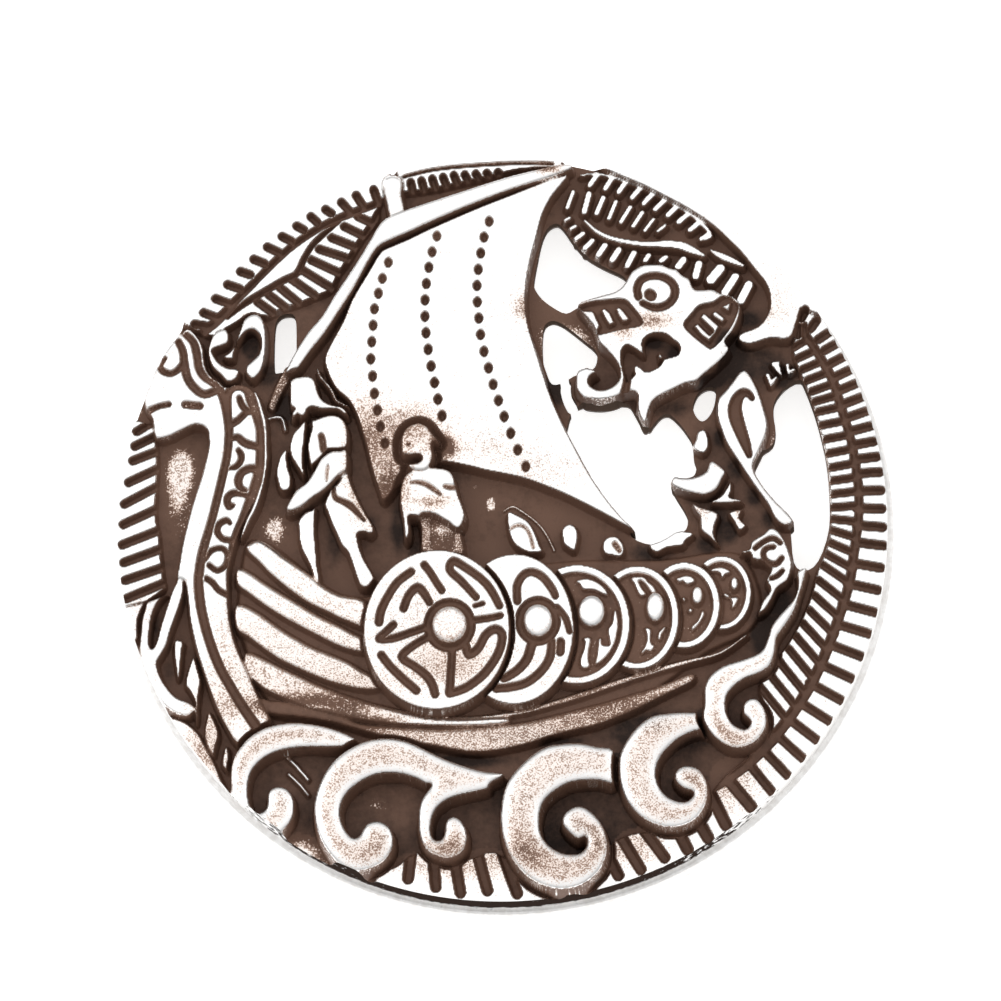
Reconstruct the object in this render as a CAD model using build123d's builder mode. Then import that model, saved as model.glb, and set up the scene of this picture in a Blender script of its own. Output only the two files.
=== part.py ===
from build123d import *
import math
import os

# Viking ship brooch: one cast, pierced plate with a hollow back, and the steel pin lying in the hollow.
# Millimetres. +Z is the face, +Y is up the mast, the origin is on the table below the middle of the disc.

os.makedirs("parts", exist_ok=True)

# Driving dimensions
disc_radius = 22.5
share = disc_radius / 100
foot = 0.5
lip_top = foot + 1.2
roof = foot + 1.3
floor_top = foot + 2.3
root = floor_top - 0.4
body_radius = 98.3 * share
hollow_radius = 92.5 * share
groove_depth = 0.6
dot_depth = 0.55
bar_top = 3.2
ring_width = 1.7
boss_rise = 0.35
shield_depth = 0.42
shield_corners = 24
boss_corners = 12

# The outlines were read off the photo as if they lay at this height, by a camera leaning back a little.
# A higher face was read too far up and too far left, by these shares for each millimetre.
read_height = 2.5
lean_right = 0.2035
lean_up = 1.131

# Pin, and the lug and catch cast on the roof of the hollow
pin_diameter = 0.8
pin_gap = 0.1
pin_height = 0.95
pin_row = -10 * share
lug_from_middle = 62 * share
lug_length = 1.6
lug_width = 2.2
catch_length = 1.4
pin_head_diameter = 1.3
pin_head_length = 0.5
pin_taper = 4.0
pin_point_diameter = 0.25
catch_slot = pin_point_diameter + 4 * pin_gap
fitting_bury = 0.5

# Every table holds hundredths of the disc radius for places and millimetres for heights and depths.

# Flat faces of the rim: name: (top, the edge runs from this angle, to this one, inner outline)
RIM_FACES = {
    "left_face": (3.2, 163, 191.5,
        [(-92, -18.5), (-87.6, -15), (-87.8, -12), (-88.3, -8), (-89, -1), (-90, 5), (-89.8, 12),
         (-89.7, 20),
         (-90.3, 25), (-91.3, 29)]),
    "upper_left_face": (3.2, 147, 107.5,
        [(-29, 91), (-33, 87.5), (-33.5, 83.5), (-37.5, 78), (-41, 72), (-43.8, 68), (-45, 64.6),
         (-50, 62.3),
         (-54, 60.6), (-58, 59.4), (-62, 57.3), (-66, 58), (-70, 55.5), (-76, 52)]),
    "top_face": (3.2, 106.5, 81,
        [(14, 96.8), (5, 96.4), (0, 95.6), (-10, 93.3), (-18, 91.5), (-27.3, 90.2)]),
    "crest": (3.7, 81, 29.8,
        [(76, 58.5), (75, 55), (73, 50.5), (68, 50.5), (63, 49), (60, 50), (60.3, 52), (65, 54),
         (67.5, 57.5),
         (68, 61), (67, 65), (64, 69), (61, 73), (58, 76.2), (53, 81), (47, 85.2), (41, 88.6), (35, 91.8),
         (28, 94.8), (23, 97.4)]),
    "right_face": (3.2, 31, -111,
        [(-31, -89.3), (-27, -88), (-22, -84.5), (-15, -87.5), (-8, -86), (-2, -84.5), (6, -90), (14, -93),
         (24, -90), (28, -82), (36, -79.3), (44, -80), (50, -76), (53, -69.5), (57, -64.3), (62, -60),
         (66.5, -54), (66.5, -47), (65.5, -41), (69, -35), (72.5, -30.5), (76.5, -23), (78.7, -17),
         (80.3, -11),
         (82.3, -6), (83.5, 0), (83.5, 6), (83.3, 12), (82.7, 18), (81.5, 24), (80, 30), (78, 36), (76, 41),
         (74, 47), (75, 54), (77, 58)]),
    "lower_strip": (3.0, 209.5, 224.5,
        [(-71.7, -69), (-73.2, -64.5), (-76, -60), (-79, -55.5), (-83, -50.8)]),
    "left_strip": (3.0, 191.5, 199,
        [(-94, -28), (-94, -23), (-92.3, -18.6)]),
}

# Ladders of short grooves: name: (width, rows of groove number, inner x and y, outer x and y)
LADDERS = {
    "left": (2.2, [(0, -90.3, 29.8, -95, 26.8), (2, -88.5, 22, -96, 19), (4, -89, 12.4, -98, 7.5),
                   (6, -88.5, 0.7, -98.4, -3.3), (8, -86.8, -9, -97.5, -12.7),
                   (9, -86.3, -13, -97, -17.5)]),
    "upper_left": (2.5, [(0, -75, 54, -82, 56), (2, -72, 60.8, -76.5, 62.8), (4, -65.6, 68.6, -70, 70),
                         (6, -58.5, 73.8, -63, 76.3), (8, -52, 80.3, -55.5, 82.2),
                         (10, -45, 84.7, -48.5, 87),
                         (12, -36.7, 87, -40, 90.7), (13, -33, 88, -35.5, 92)]),
    "inner_left": (2.1, [(0, -60, 58, -64.3, 61.3), (2, -53.8, 61, -58.5, 65), (4, -45.5, 65, -52.5, 69.5),
                         (6, -41, 72.7, -48.5, 75.3), (8, -36.5, 78.5, -42, 81.3),
                         (9, -33.5, 81.5, -38.5, 84)]),
    "top": (2.0, [(0, -25.3, 90.2, -25.7, 95), (2, -18.8, 91, -19.8, 96), (4, -12.2, 92.5, -13.5, 96.8),
                  (7, -2.6, 94.5, -3.8, 97.3)]),
    "right_outer": (2.3, [(0, 82.5, 44.2, 87.3, 46), (4, 87.8, 30, 93.5, 31), (8, 90.3, 14.5, 97, 14.9),
                          (12, 90.3, -3.7, 98, -4.6), (16, 85.5, -25.3, 94.5, -28),
                          (20, 75.8, -45.8, 84.5, -51.5),
                          (24, 62.5, -61.5, 69.5, -70.3)]),
    "bottom_right": (2.9, [(0, 57.5, -66, 64.5, -74.5), (1, 53, -70, 58, -79.3),
                           (2, 49, -75.5, 53.3, -82.7),
                           (3, 44, -78, 48, -85.7)]),
    "bottom_middle": (2.7, [(0, 36, -79, 42, -88), (1, 29.3, -79.5, 35.8, -91),
                            (2, 25.5, -83.5, 30, -92.7)]),
    "bottom_left": (2.7, [(0, 8.6, -90.5, 11.6, -97), (1, 0, -85, 3.8, -97.3), (2, -7.2, -82.5, -4, -96.5),
                          (3, -12.6, -85, -11, -97), (4, -17.9, -85, -17.5, -95.5),
                          (5, -23.2, -82, -24.7, -93.3)]),
    "right_inner": (1.9, [(0, 74.5, 45, 78.5, 48.5), (3, 76.7, 36, 83.5, 39.5), (6, 79.9, 26.5, 87.5, 28),
                          (9, 82, 15.8, 90, 17.3), (12, 82.6, 5.5, 90.5, 6), (14, 83.2, -0.2, 89.7, -2.3),
                          (17, 81.6, -9.6, 88.2, -14.3), (20, 78.2, -21.5, 84.5, -28),
                          (23, 72.8, -31.6, 79.5, -40),
                          (26, 65, -41, 72.5, -50.5)]),
}

# Long lines cut in the rim: name: (points of x, y, width)
RIM_LINES = {
    "right_line": [(77.6, 51, 2), (82, 43, 2), (85.3, 37, 2), (87.5, 31, 2), (89.3, 23, 2), (90.6, 13, 2),
                   (90.9, 4, 2), (89.8, -5, 2.1), (88.5, -14, 2.2), (85.5, -24, 2.3), (81.4, -35, 2.5),
                   (76.2, -45, 2.6), (69, -55, 2.8), (63, -61, 2.8), (57, -65.6, 2.8), (51, -69, 2.8)],
    "upper_line": [(-78, 53.5, 2.4), (-74.5, 56.5, 2.3), (-70, 61.5, 2.1), (-65, 66.7, 1.8), (-60, 72, 1.8),
                   (-55, 76.5, 1.8), (-49, 80.7, 1.8), (-44, 83.3, 1.9), (-38, 85.7, 1.9), (-32, 88, 1.6)],
    "leaf_line": [(-72, 57.3, 1.2), (-68, 60.6, 1.6), (-62, 64.3, 1.7), (-57.5, 67, 1.7),
                  (-54.2, 68.7, 1.6),
                   (-52.7, 72, 1.5), (-50.5, 76, 1.4), (-47, 79.7, 1.4), (-43.5, 82.6, 1)],
    "spar_side": [(-46, 62.5, 1.2), (-42.5, 68.5, 1.8), (-38.7, 75.5, 1.8), (-35.3, 81, 1.8), (-33, 85, 2)],
}

# Short raised bars of the mane: x and y of one end, of the other end, width
MANE_BARS = [
    (21.5, 92, 23.3, 94.6, 1.7), (25.5, 91, 27.3, 93.9, 1.7), (29, 90.1, 31, 93, 1.7),
    (32.5, 88.6, 35, 91.6, 1.7),
    (35.5, 87, 38.4, 90.2, 1.7), (38.5, 85.4, 41.5, 88.4, 1.7), (41.7, 83.7, 44.5, 86.6, 1.7),
    (44.5, 81.9, 47.6, 84.6, 1.7), (47.5, 79.8, 50.2, 82, 1.7), (50.3, 77.3, 52.2, 78.6, 1.5),
    (15.7, 86, 17.2, 90.2, 1.5), (20.1, 84.9, 21.3, 89.6, 1.9), (23.3, 84.4, 25, 88.5, 1.7),
    (26.5, 83, 28.3, 87.5, 1.5),
    (29.6, 82, 32, 86, 1.5), (32.8, 80.9, 35.1, 84.5, 1.5), (35.8, 79.7, 38, 82.7, 1.3),
    (39.2, 79.5, 41, 81, 1.2),
    (15.2, 82.6, 16.3, 83.2, 1.2), (16.6, 80.3, 17.8, 81, 1.3), (18, 77.6, 19.8, 79, 1.6),
    (20.3, 75, 22.2, 77.1, 1.7),
    (23.8, 73.2, 25.5, 75.8, 1.9), (27.4, 71.9, 29.1, 74.6, 2), (31.3, 70.3, 33, 73.7, 1.9),
    (35.9, 71.6, 36.8, 73, 1.7),
    (40, 71.5, 41.2, 72.5, 1.7), (44.4, 69.9, 45.8, 71.8, 2.2), (48.9, 67.3, 49.8, 70.7, 2.3),
    (52.8, 66.3, 55.3, 69.4, 2.8), (56.4, 62.8, 59.4, 67.6, 2), (60.6, 60.8, 62.7, 65.2, 2.1),
]# Ribs along the mane and the crest: name: (top, points of x, y, width)
MANE_RIBS = {
    "mane_border": (3.2, [(19, 94.6, 0.6), (23.5, 95, 0.9), (28, 93.9, 1), (33, 92.2, 1.1),
                          (38, 89.9, 1.1), (43, 87, 1.1),
                          (47.5, 84.2, 1.2), (51, 81, 1.4), (53, 78.2, 1), (51.3, 77, 0.7)]),
    "crest_rib": (3.4, [(20.2, 82.5, 0.7), (23, 79.8, 0.9), (26.5, 77.9, 1), (31, 76.7, 1), (36, 76, 1.3),
                        (41, 76, 2), (45, 75.6, 2.3), (48, 74.3, 1.9), (51, 72.9, 0.8)]),
    "crest_tail": (3.4, [(52.8, 74.3, 0.8), (55, 73, 1.9), (58, 71.6, 2), (61, 70.2, 1.2)]),
}

# The dragon and the stern beast: name: (top, outline)
BEASTS = {
    "stern_post": (3.75,
        [(-91.2, 30.3), (-92.8, 33), (-93.2, 36), (-91.8, 40), (-90.3, 44), (-88.5, 47.5), (-86.3, 50.7),
         (-83.5, 53.7), (-81.5, 54), (-79.3, 51.5), (-78.2, 49), (-77.8, 45), (-76.5, 42), (-74.3, 40.3),
         (-72.3, 38.6), (-70, 39.6), (-67, 39.2), (-65, 37.5), (-63.3, 34), (-62.3, 29.5), (-61.5, 25),
         (-61.3, 20), (-62.3, 15), (-64, 10), (-66.3, 5), (-68.5, 0), (-70, -5), (-71, -10), (-71, -15),
         (-70.8, -19), (-70.3, -24), (-69, -29), (-67, -34), (-65.3, -39), (-63.5, -44), (-61, -48.3),
         (-64.5, -50.5), (-66.3, -53), (-68.5, -54.6), (-70.5, -52), (-73.3, -47.5), (-75.3, -42.5),
         (-77, -37.5), (-78.7, -32.5), (-80, -27.5), (-81, -22.5), (-81.5, -17.5), (-82.3, -13),
         (-84.3, -12),
         (-83.9, -9), (-83.2, -4), (-82, 1.7), (-80.7, 7), (-79.3, 11.7), (-78.3, 15), (-77.3, 19.3),
         (-76.7, 22.3), (-76.7, 25), (-77.3, 27.5), (-80, 28.4), (-83.3, 27), (-86.7, 25.3), (-89.7, 24.8),
         (-90.7, 26.7)]),
    "stern_lobe": (3.6,
        [(-77, 49), (-76, 52), (-74.5, 53.6), (-72.3, 54), (-71.4, 52), (-71.8, 50.3), (-73.5, 49.4),
         (-75.7, 48.5),
         (-75.3, 47), (-73.8, 45), (-71.8, 43.8), (-69.8, 43.6), (-68.7, 42.8), (-69.2, 41), (-70.7, 39.9),
         (-72.2, 40), (-73.7, 41.8), (-75.6, 43.5), (-76.8, 46)]),
    "lobe_leaf": (3.5, [(-73, 46.7), (-71.5, 47.8), (-69.8, 49.7), (-70.2, 47), (-70.4, 46),
                        (-71.8, 45.9)]),
    "stern_ear": (3.75,
        [(-69.7, 50.5), (-68.7, 54), (-67.5, 57), (-65, 58.2), (-63, 57), (-62, 54), (-61.8, 49),
         (-62.4, 44.5),
         (-63.5, 42), (-65.4, 40.5), (-67.2, 42.3), (-67, 44.3), (-65.4, 45.8), (-63.9, 47.5), (-63.4, 50),
         (-63.8, 52.3), (-65.3, 53.7), (-67, 53.3), (-68.3, 52)]),
    "dragon_head": (4.2,
        [(18.3, 59.8), (23.5, 62.2), (28, 63.5), (30.3, 65.5), (32, 68.5), (34, 70), (36, 70.7), (40, 70.7),
         (42, 69.8), (44, 69.3), (45.5, 67.8), (47.3, 66.7), (48.2, 64.6), (49.5, 63.8), (53, 64),
         (55.5, 62.8),
         (58, 62.3), (60.2, 60), (60.2, 56.5), (58.6, 52.8), (56.6, 50), (57.6, 48), (56.5, 46), (54, 43.5),
         (51, 41), (49, 39.2), (46, 38.5), (43, 37), (40, 35.5), (38, 34), (37, 31.5), (36.3, 28.8),
         (35.3, 28.5),
         (34.3, 30.5), (33.7, 33), (33.8, 35.5), (33, 36.5), (30.6, 36.6), (29, 35.5), (27, 34.8),
         (24, 34.4),
         (20.5, 34.8), (19.2, 35.8), (18.1, 37.5), (17.9, 40), (18.4, 42.2), (20.5, 43.2), (22.5, 42.8),
         (23.4, 41.8), (22, 41), (21.4, 39.6), (22, 38.3), (24.3, 37.3), (27, 38), (28.9, 39.7),
         (29.3, 42.2),
         (28.2, 44.8), (26, 47.5), (23.8, 50), (22.3, 54.3)]),
    "neck": (3.7,
        [(60.3, 42), (58.5, 39.7), (56.5, 37), (54.5, 34.5), (54.3, 30), (55.3, 26.5), (56.7, 22.8),
         (59, 19),
         (61.5, 15), (64.5, 10.5), (67.3, 6.5), (69, 3), (71, 1), (73, 1), (74, 2.5), (71.5, 5.5),
         (69.3, 7.8),
         (66, 12), (63.8, 16.5), (65.3, 20.5), (67, 24.5), (67.5, 28), (66.6, 32), (65, 37), (62.3, 42)]),
    "chest_chip": (3.3, [(49.5, 26), (51.5, 26.4), (52.5, 22.5), (51, 20), (48.3, 21.5), (49, 24)]),
    "chest_hook": (3.8,
        [(42.6, 13), (43.5, 14.2), (46, 13.8), (49, 14.2), (51.6, 15.6), (52.5, 18), (54, 18), (56.7, 15.5),
         (56, 13.5), (54.7, 11), (53, 9.6), (51, 9), (48, 9.5), (45, 10.5), (43, 11.6)]),
    "chest_leg": (3.5, [(48, 7), (50.5, 6), (54.8, 4.3), (54, 1), (53.8, -1.5), (54.8, -4), (52.3, -2),
                                   (50.2, 0), (50, 3), (48.7, 5)]),
    "chest_fin": (3.5, [(58, 13), (58.2, 10), (57.8, 8.6), (60.5, 7.9), (60.3, 7), (53, 7), (55.5, 9),
                        (57, 11.3)]),
    "chest_tag": (3.3, [(57.5, 4.5), (61, 5.3), (60.3, 3), (62, 1), (60.3, -0.5), (58.7, 2)]),
    "end_knot": (3.9,
        [(60.6, -6.3), (60.8, -5.7), (62.6, -5.2), (63, -3.5), (64.5, -2.2), (66.5, -1), (68, 0.4),
         (70, -0.3),
         (71.8, -3), (73.3, -7), (73.7, -10), (72.7, -13.5), (70, -15.6), (68.6, -18.5), (66.8, -21.3),
         (65, -22.2), (66, -19), (68, -16), (67, -13.5), (68.2, -10.5), (66.5, -8.6), (63.6, -8),
         (62.8, -6.3)]),
}

# Strands of the knot at the left: name: (top, points of x, y, width)
STRANDS = {
    "strand_a": (3.5, [(-83.6, -10, 1.2), (-84.3, -13.5, 2.8), (-85.6, -17.5, 3.3), (-87, -22, 3.3),
                       (-88.8, -27.5, 3.4), (-90.3, -32.5, 3.6)]),
    "knot_loop": (3.6, [(-86.8, -15.2, 0.8), (-89.7, -16.8, 1.8), (-92, -20, 2.4), (-93, -25, 2.8),
                        (-92.8, -31, 3.6),
                        (-91, -36.5, 4.2), (-88, -41.3, 4.6), (-84.5, -44.8, 4.4), (-81.5, -46.3, 3.2),
                        (-80, -46.5, 1.6)]),
    "strand_b": (3.4, [(-79.9, -34, 0.8), (-80.4, -38, 2), (-80.2, -43, 2.6), (-79.3, -48.7, 1.2)]),
    "strand_c": (3.2, [(-84, -28.3, 2.2), (-84.1, -33, 1.8), (-83.9, -38, 0.6)]),
    "strand_d": (3.4, [(-76.2, -48.3, 0.8), (-75.7, -52, 2.9), (-75, -56, 1.9), (-74.2, -59, 0.5)]),
    "strand_e": (3.3, [(-71.3, -56.8, 0.7), (-71.8, -60, 1.4), (-71.3, -62.4, 0.9)]),
    "ear_line": (3.3, [(-69.6, 56.4, 0.6), (-67, 58.6, 0.8), (-65, 60, 0.8)]),
    "crew_pit": (2.6, [(-0.3, 5.2, 0.5), (2, 6.4, 0.5), (4.6, 4.9, 0.5), (8.3, 2, 0.5), (10.7, -1.2, 0.5),
                       (12.7, -5.3, 0.5)]),
}
# The sail, the yard and the mast head: name: (top, outline)
RIG = {
    "sail": (3.7,
        [(15.5, 95), (11.8, 89), (9.4, 84), (7.9, 78), (6.4, 72), (5.4, 66), (5.2, 60), (6, 54),
         (8, 47.5), (10, 41),
         (12, 35), (15, 28), (18, 22), (22, 14.5), (26, 8.5), (30, 3.5), (33.2, 0), (30, 1.5), (25, 4.3),
         (20, 7), (15, 9.5), (10, 11.6), (5, 13.5), (0, 14.7), (-5, 15.7), (-10, 17), (-18, 18), (-26, 14),
         (-31, 8), (-33, 12), (-34.6, 17), (-35.8, 22), (-37.2, 27), (-38.6, 31), (-40.5, 34.6), (-44, 38),
         (-46, 42), (-46.9, 46), (-45.2, 50.3), (-42.3, 55.8), (-40, 61.8), (-36, 68.8), (-32.8, 74.3),
         (-30, 76), (-25, 78.2), (-20, 80.7), (-10, 85.2), (0, 89.3)]),
    "spar": (4.0,
        [(-55.9, 41.3), (-56.1, 43), (-53.7, 47.3), (-50.6, 53), (-47.7, 57.5), (-44.5, 63), (-40, 70),
         (-36, 76.7), (-33, 82), (-30, 84.4), (-25, 86.3),
         (-20, 88), (-10, 91.3), (0, 94.5), (8, 96.5), (15.5, 98), (17, 96.5), (14, 95), (8, 93), (0, 90.3),
         (-10, 86.4), (-20, 82), (-25, 79.6), (-30, 77.4), (-33.3, 75.4), (-36.5, 70), (-40, 63.3),
         (-43.6, 57.5),
         (-46.5, 51.6), (-49.9, 46.4), (-53.4, 41.6)]),
    "mast_top": (3.9, [(-32.2, 93.7), (-29.7, 95.3), (-27.2, 94), (-27, 89.5), (-26.3, 85), (-30, 83.2),
                       (-31.2, 87)]),
}
# Lacing holes of the sail, three rows of x and y
SAIL_DOTS = [
    [(-30.5, 71.5), (-32, 67.2), (-33, 63.2), (-34, 59), (-34.3, 54.6), (-34.6, 50.2), (-34.8, 45.6),
     (-34.3, 41),
     (-33.8, 36.4), (-33, 32), (-32.2, 27.6), (-31, 23.2)],
    [(-18, 78.5), (-19.2, 74.2), (-20, 70), (-20.6, 65.6), (-20.9, 61.2), (-20.9, 56.8), (-20.6, 52.4),
     (-20, 48),
     (-19.2, 43.5), (-18.3, 39.1), (-17.4, 34.7), (-16.3, 30.3)],
    [(-4.5, 82.3), (-5.8, 78), (-6.6, 73.7), (-7.2, 69.3), (-7.5, 65), (-7.4, 60.6), (-7, 56.3),
     (-6.5, 51.9),
     (-5.6, 47.4), (-4.4, 43), (-3.2, 38.6), (-1.8, 34.3), (-0.3, 30), (1.4, 25.6), (3.2, 21.2),
     (5.3, 16.8)],
]
# Side of the hull, then its planks and keel: name: (top, outline)
HULL = {
    "hull_side": (2.75,
        [(-66, -2.5), (-60, -3.5), (-54, -8), (-48, -13), (-38, -17.5), (-20, -14), (0, -10), (20, -8),
         (40, -8),
         (55, -6), (62, -8), (66, -20), (62, -27.5), (52, -32.5), (38, -43), (26, -50), (14, -53),
         (2, -56.3),
         (-8, -57.3), (-18, -55.3), (-30, -52.5), (-48, -49), (-60, -45.5), (-65, -35), (-68.5, -24),
         (-68, -12)]),
    "strake_1": (3.55,
        [(-66, -3.7), (-63.5, -2.3), (-60, -4.3), (-57, -6.7), (-54, -8.8), (-50, -11.7), (-46, -15),
         (-42, -17),
         (-36, -18.5), (-35, -24.8), (-41, -23), (-45, -21), (-50, -18.5), (-55, -15), (-60, -10.7),
         (-63, -7.5),
         (-65.5, -5.2)]),
    "strake_2": (3.5,
        [(-67.8, -10.8), (-65, -11), (-61, -13.3), (-57, -16.5), (-53, -19.3), (-48, -22.5), (-43, -25),
         (-38.3, -27.6),
         (-36, -30.3), (-38, -30.4), (-43, -29.3), (-48, -27.3), (-53, -24.8), (-57, -22.3), (-61, -19),
         (-65, -15.5),
         (-68, -12.7)]),
    "strake_3": (3.5,
        [(-67.8, -20), (-64, -21), (-60, -24.3), (-56, -27.5), (-50, -31), (-45, -32.7), (-40, -35),
         (-36.3, -38),
         (-32.5, -40.5), (-36, -40.9), (-41, -40), (-46, -38.3), (-51, -36.3), (-56, -34), (-60, -31),
         (-64, -27.5),
         (-67, -24)]),
    "strake_4": (3.45,
        [(-66, -32), (-62, -33.7), (-58, -36), (-53, -38.7), (-48, -41), (-42, -43.3), (-36, -45.3),
         (-30, -46.8),
         (-25, -48), (-18, -49.4), (-10, -50), (0, -49.4), (0, -50.3), (-10, -50.9), (-20, -50.6),
         (-30, -49.8),
         (-38, -48.7), (-45, -46.8), (-52, -44.3), (-58, -41.3), (-62, -38.3), (-65, -34.5)]),
    "keel": (3.35,
        [(-61, -43.5), (-56, -44.5), (-50, -47.5), (-44, -49.2), (-36, -51), (-28, -51.8), (-20, -52.3),
         (-10, -52.6),
         (0, -52), (8, -50.8), (14, -50.3), (20, -50.7), (26, -49), (32, -46.3), (38, -43.6), (44, -41),
         (48.5, -39.8),
         (43, -42.5), (38, -45), (32, -48), (26, -50.2), (20, -52), (14, -52.7), (8, -54.5), (2, -56.3),
         (-5, -57.3),
         (-12, -56.7), (-18, -55.3), (-24, -53.7), (-32, -52.5), (-40, -51), (-48, -49.5), (-54, -47.9),
         (-58, -46.7),
         (-61, -45.2)]),
}
# The wale above the keel: name: (top, points of x, y, width)
HULL_LINE = {
    "wale": (3.25, [(-2, -49.9, 1), (8, -48.4, 1), (15, -46.8, 1), (22, -44.4, 1.2), (30, -41.4, 1.3),
                    (38, -38.8, 1.1), (45, -35.8, 1), (52, -32.7, 0.8), (62, -28, 0.7)]),
}
# The crew: name: (top, outline)
CREW = {
    "steersman_leg": (3.5,
        [(-52.9, 2.5), (-51.5, 4.3), (-49.4, 5.3), (-49, 3), (-49.3, 0), (-49, -3), (-48.6, -7),
         (-47.9, -12.8),
         (-49.6, -11.5), (-50.2, -9), (-51.6, -6), (-52.8, -3), (-53.2, 0)]),
    "steersman_robe": (3.8,
        [(-41, 16.3), (-40, 14), (-38, 9), (-36, 4), (-33.9, 0.5), (-34.5, -0.6), (-37, -0.4),
         (-38.7, -1.5),
         (-38, -4), (-37.3, -6.5), (-35.7, -9), (-33.6, -12.7), (-35.3, -13.7), (-37, -15.7), (-37.8, -14),
         (-38.5, -11), (-39.5, -7), (-41, -4), (-43, -1), (-44.3, 2), (-45.5, 6), (-46.2, 9), (-45.3, 11.5),
         (-43, 12.6)]),
    "steersman_fold": (3.7,
        [(-57, 22.2), (-58.7, 18), (-59.2, 14.5), (-58.3, 11.3), (-56, 11), (-54.4, 13), (-56, 14.5),
         (-56.8, 17),
         (-56.4, 20)]),
    "steersman_side": (3.9,
        [(-51.2, 29), (-54, 26.5), (-55.3, 23.2), (-55.6, 20.5), (-54.5, 17.5), (-52.3, 14.7), (-52, 16.5),
         (-52.3, 20), (-51.8, 25)]),
    "steersman_cape": (4.1,
        [(-50.6, 28.6), (-48, 30.2), (-45, 31), (-42.5, 30), (-41.2, 27.5), (-40.8, 24), (-41.4, 22.6),
         (-44, 22.4),
         (-47.5, 20.8), (-50.2, 17.7), (-50.7, 22), (-50.1, 26)]),
    "steersman_arm": (4.25,
        [(-41.8, 22), (-45, 21.7), (-48, 19), (-49.5, 15.5), (-52, 12), (-54.5, 10.3), (-56.4, 6.8),
         (-55.2, 5.6),
         (-53, 6.4), (-50.5, 8.2), (-48, 10.5), (-45.5, 12.3), (-43, 14.7), (-40.8, 17), (-40.4, 19.3)]),
    "steersman_head": (4.2,
        [(-55, 40), (-53.3, 41.3), (-50.7, 41), (-49.3, 39), (-48.5, 36.2), (-47, 34.5), (-45, 33.8),
         (-42.6, 33.3),
         (-40.9, 31.3), (-42.2, 31.7), (-44.3, 32.6), (-47, 32.9), (-49.5, 33.4), (-51.6, 33),
         (-52.6, 31.5),
         (-55, 30.8), (-54.2, 33), (-55.5, 34.5), (-55.6, 37.5)]),
    "guard_tunic": (3.5,
        [(-22.3, 6), (-21.8, -1), (-21, -5.8), (-11.3, -7), (-11.5, -1), (-11, 3), (-13, 6)]),
    "guard_cloak": (4.4,
        [(-23, 16.3), (-20, 17.3), (-16.5, 17.2), (-13.8, 15.8), (-13, 12), (-11.8, 8), (-10.6, 4.2),
         (-11, 1.6),
         (-12.3, 0.6), (-14, 2), (-16.5, 4), (-20, 5), (-22.3, 4.3), (-24.5, 3.8), (-25.4, 1),
         (-26.3, -0.7),
         (-27, 3), (-27.2, 8), (-26.6, 11), (-25.2, 14)]),
    "guard_head": (4.6,
        [(-27, 23.4), (-26.5, 26), (-25, 28), (-23, 28.8), (-21, 28.3), (-19.3, 26.3), (-17.3, 23.8),
         (-19.2, 23.4),
         (-19.3, 21.5), (-19, 19.5), (-19.5, 17.6), (-21.5, 17.2), (-23.5, 16.6), (-25.2, 17), (-25, 18.2),
         (-22.4, 18.1), (-21.5, 19.3), (-22.2, 20.4), (-25, 20.5), (-26.6, 21)]),
    "rower_a": (3.4,
        [(0.8, 4.8), (3, 4), (5.8, 2.3), (7.6, -0.7), (8.8, -4), (9.4, -5.6), (6, -5.8), (3, -4),
         (1.5, -1.5), (0.9, 1.2)]),
    "rower_b": (3.3,
        [(14.8, 0), (16.3, 1.5), (17.9, 0.9), (18.7, -1.2), (18.4, -3.7), (17.8, -5.3), (16.4, -4.6),
         (15.2, -3.4)]),
    "rower_c": (3.3,
        [(25.2, -4.5), (25.8, -2.6), (27.4, -1.8), (28.8, -2), (30, -3.5), (30.5, -5.3), (29.7, -7),
         (27.7, -6.7), (26, -6.3)]),
    "rower_arm": (3.4,
        [(37.2, -4.3), (39, -5.9), (41.5, -4.7), (45.6, -4.1), (46.2, -2.8), (48, -1.6), (47.5, -0.8),
         (44.3, -0.7),
         (42, -2.1), (39.5, -3.4)]),
}

# Rows run from the far shield to the near one:
# name, middle x and y, half width, half height, top, boss middle x and y, boss half width and half height
SHIELDS = [
    ("shield_6", 55.5, -16.8, 7.9, 9.9, 3.75, 58.9, -14.6, 1.0, 1.7),
    ("shield_5", 46.0, -20.0, 9.3, 11.5, 3.85, 49.4, -17.6, 1.5, 2.4),
    ("shield_4", 34.0, -23.2, 10.8, 13.8, 4.0, 38.6, -20.5, 2.5, 4.0),
    ("shield_3", 18.6, -24.9, 13.7, 15.9, 4.2, 22.3, -21.5, 3.6, 4.3),
    ("shield_2", 2.6, -26.0, 15.3, 20.0, 4.45, 8.6, -23.9, 3.9, 4.5),
    ("shield_1", -17.3, -26.0, 18.9, 21.2, 4.75, -14.0, -24.9, 4.7, 5.1),
]

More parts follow.
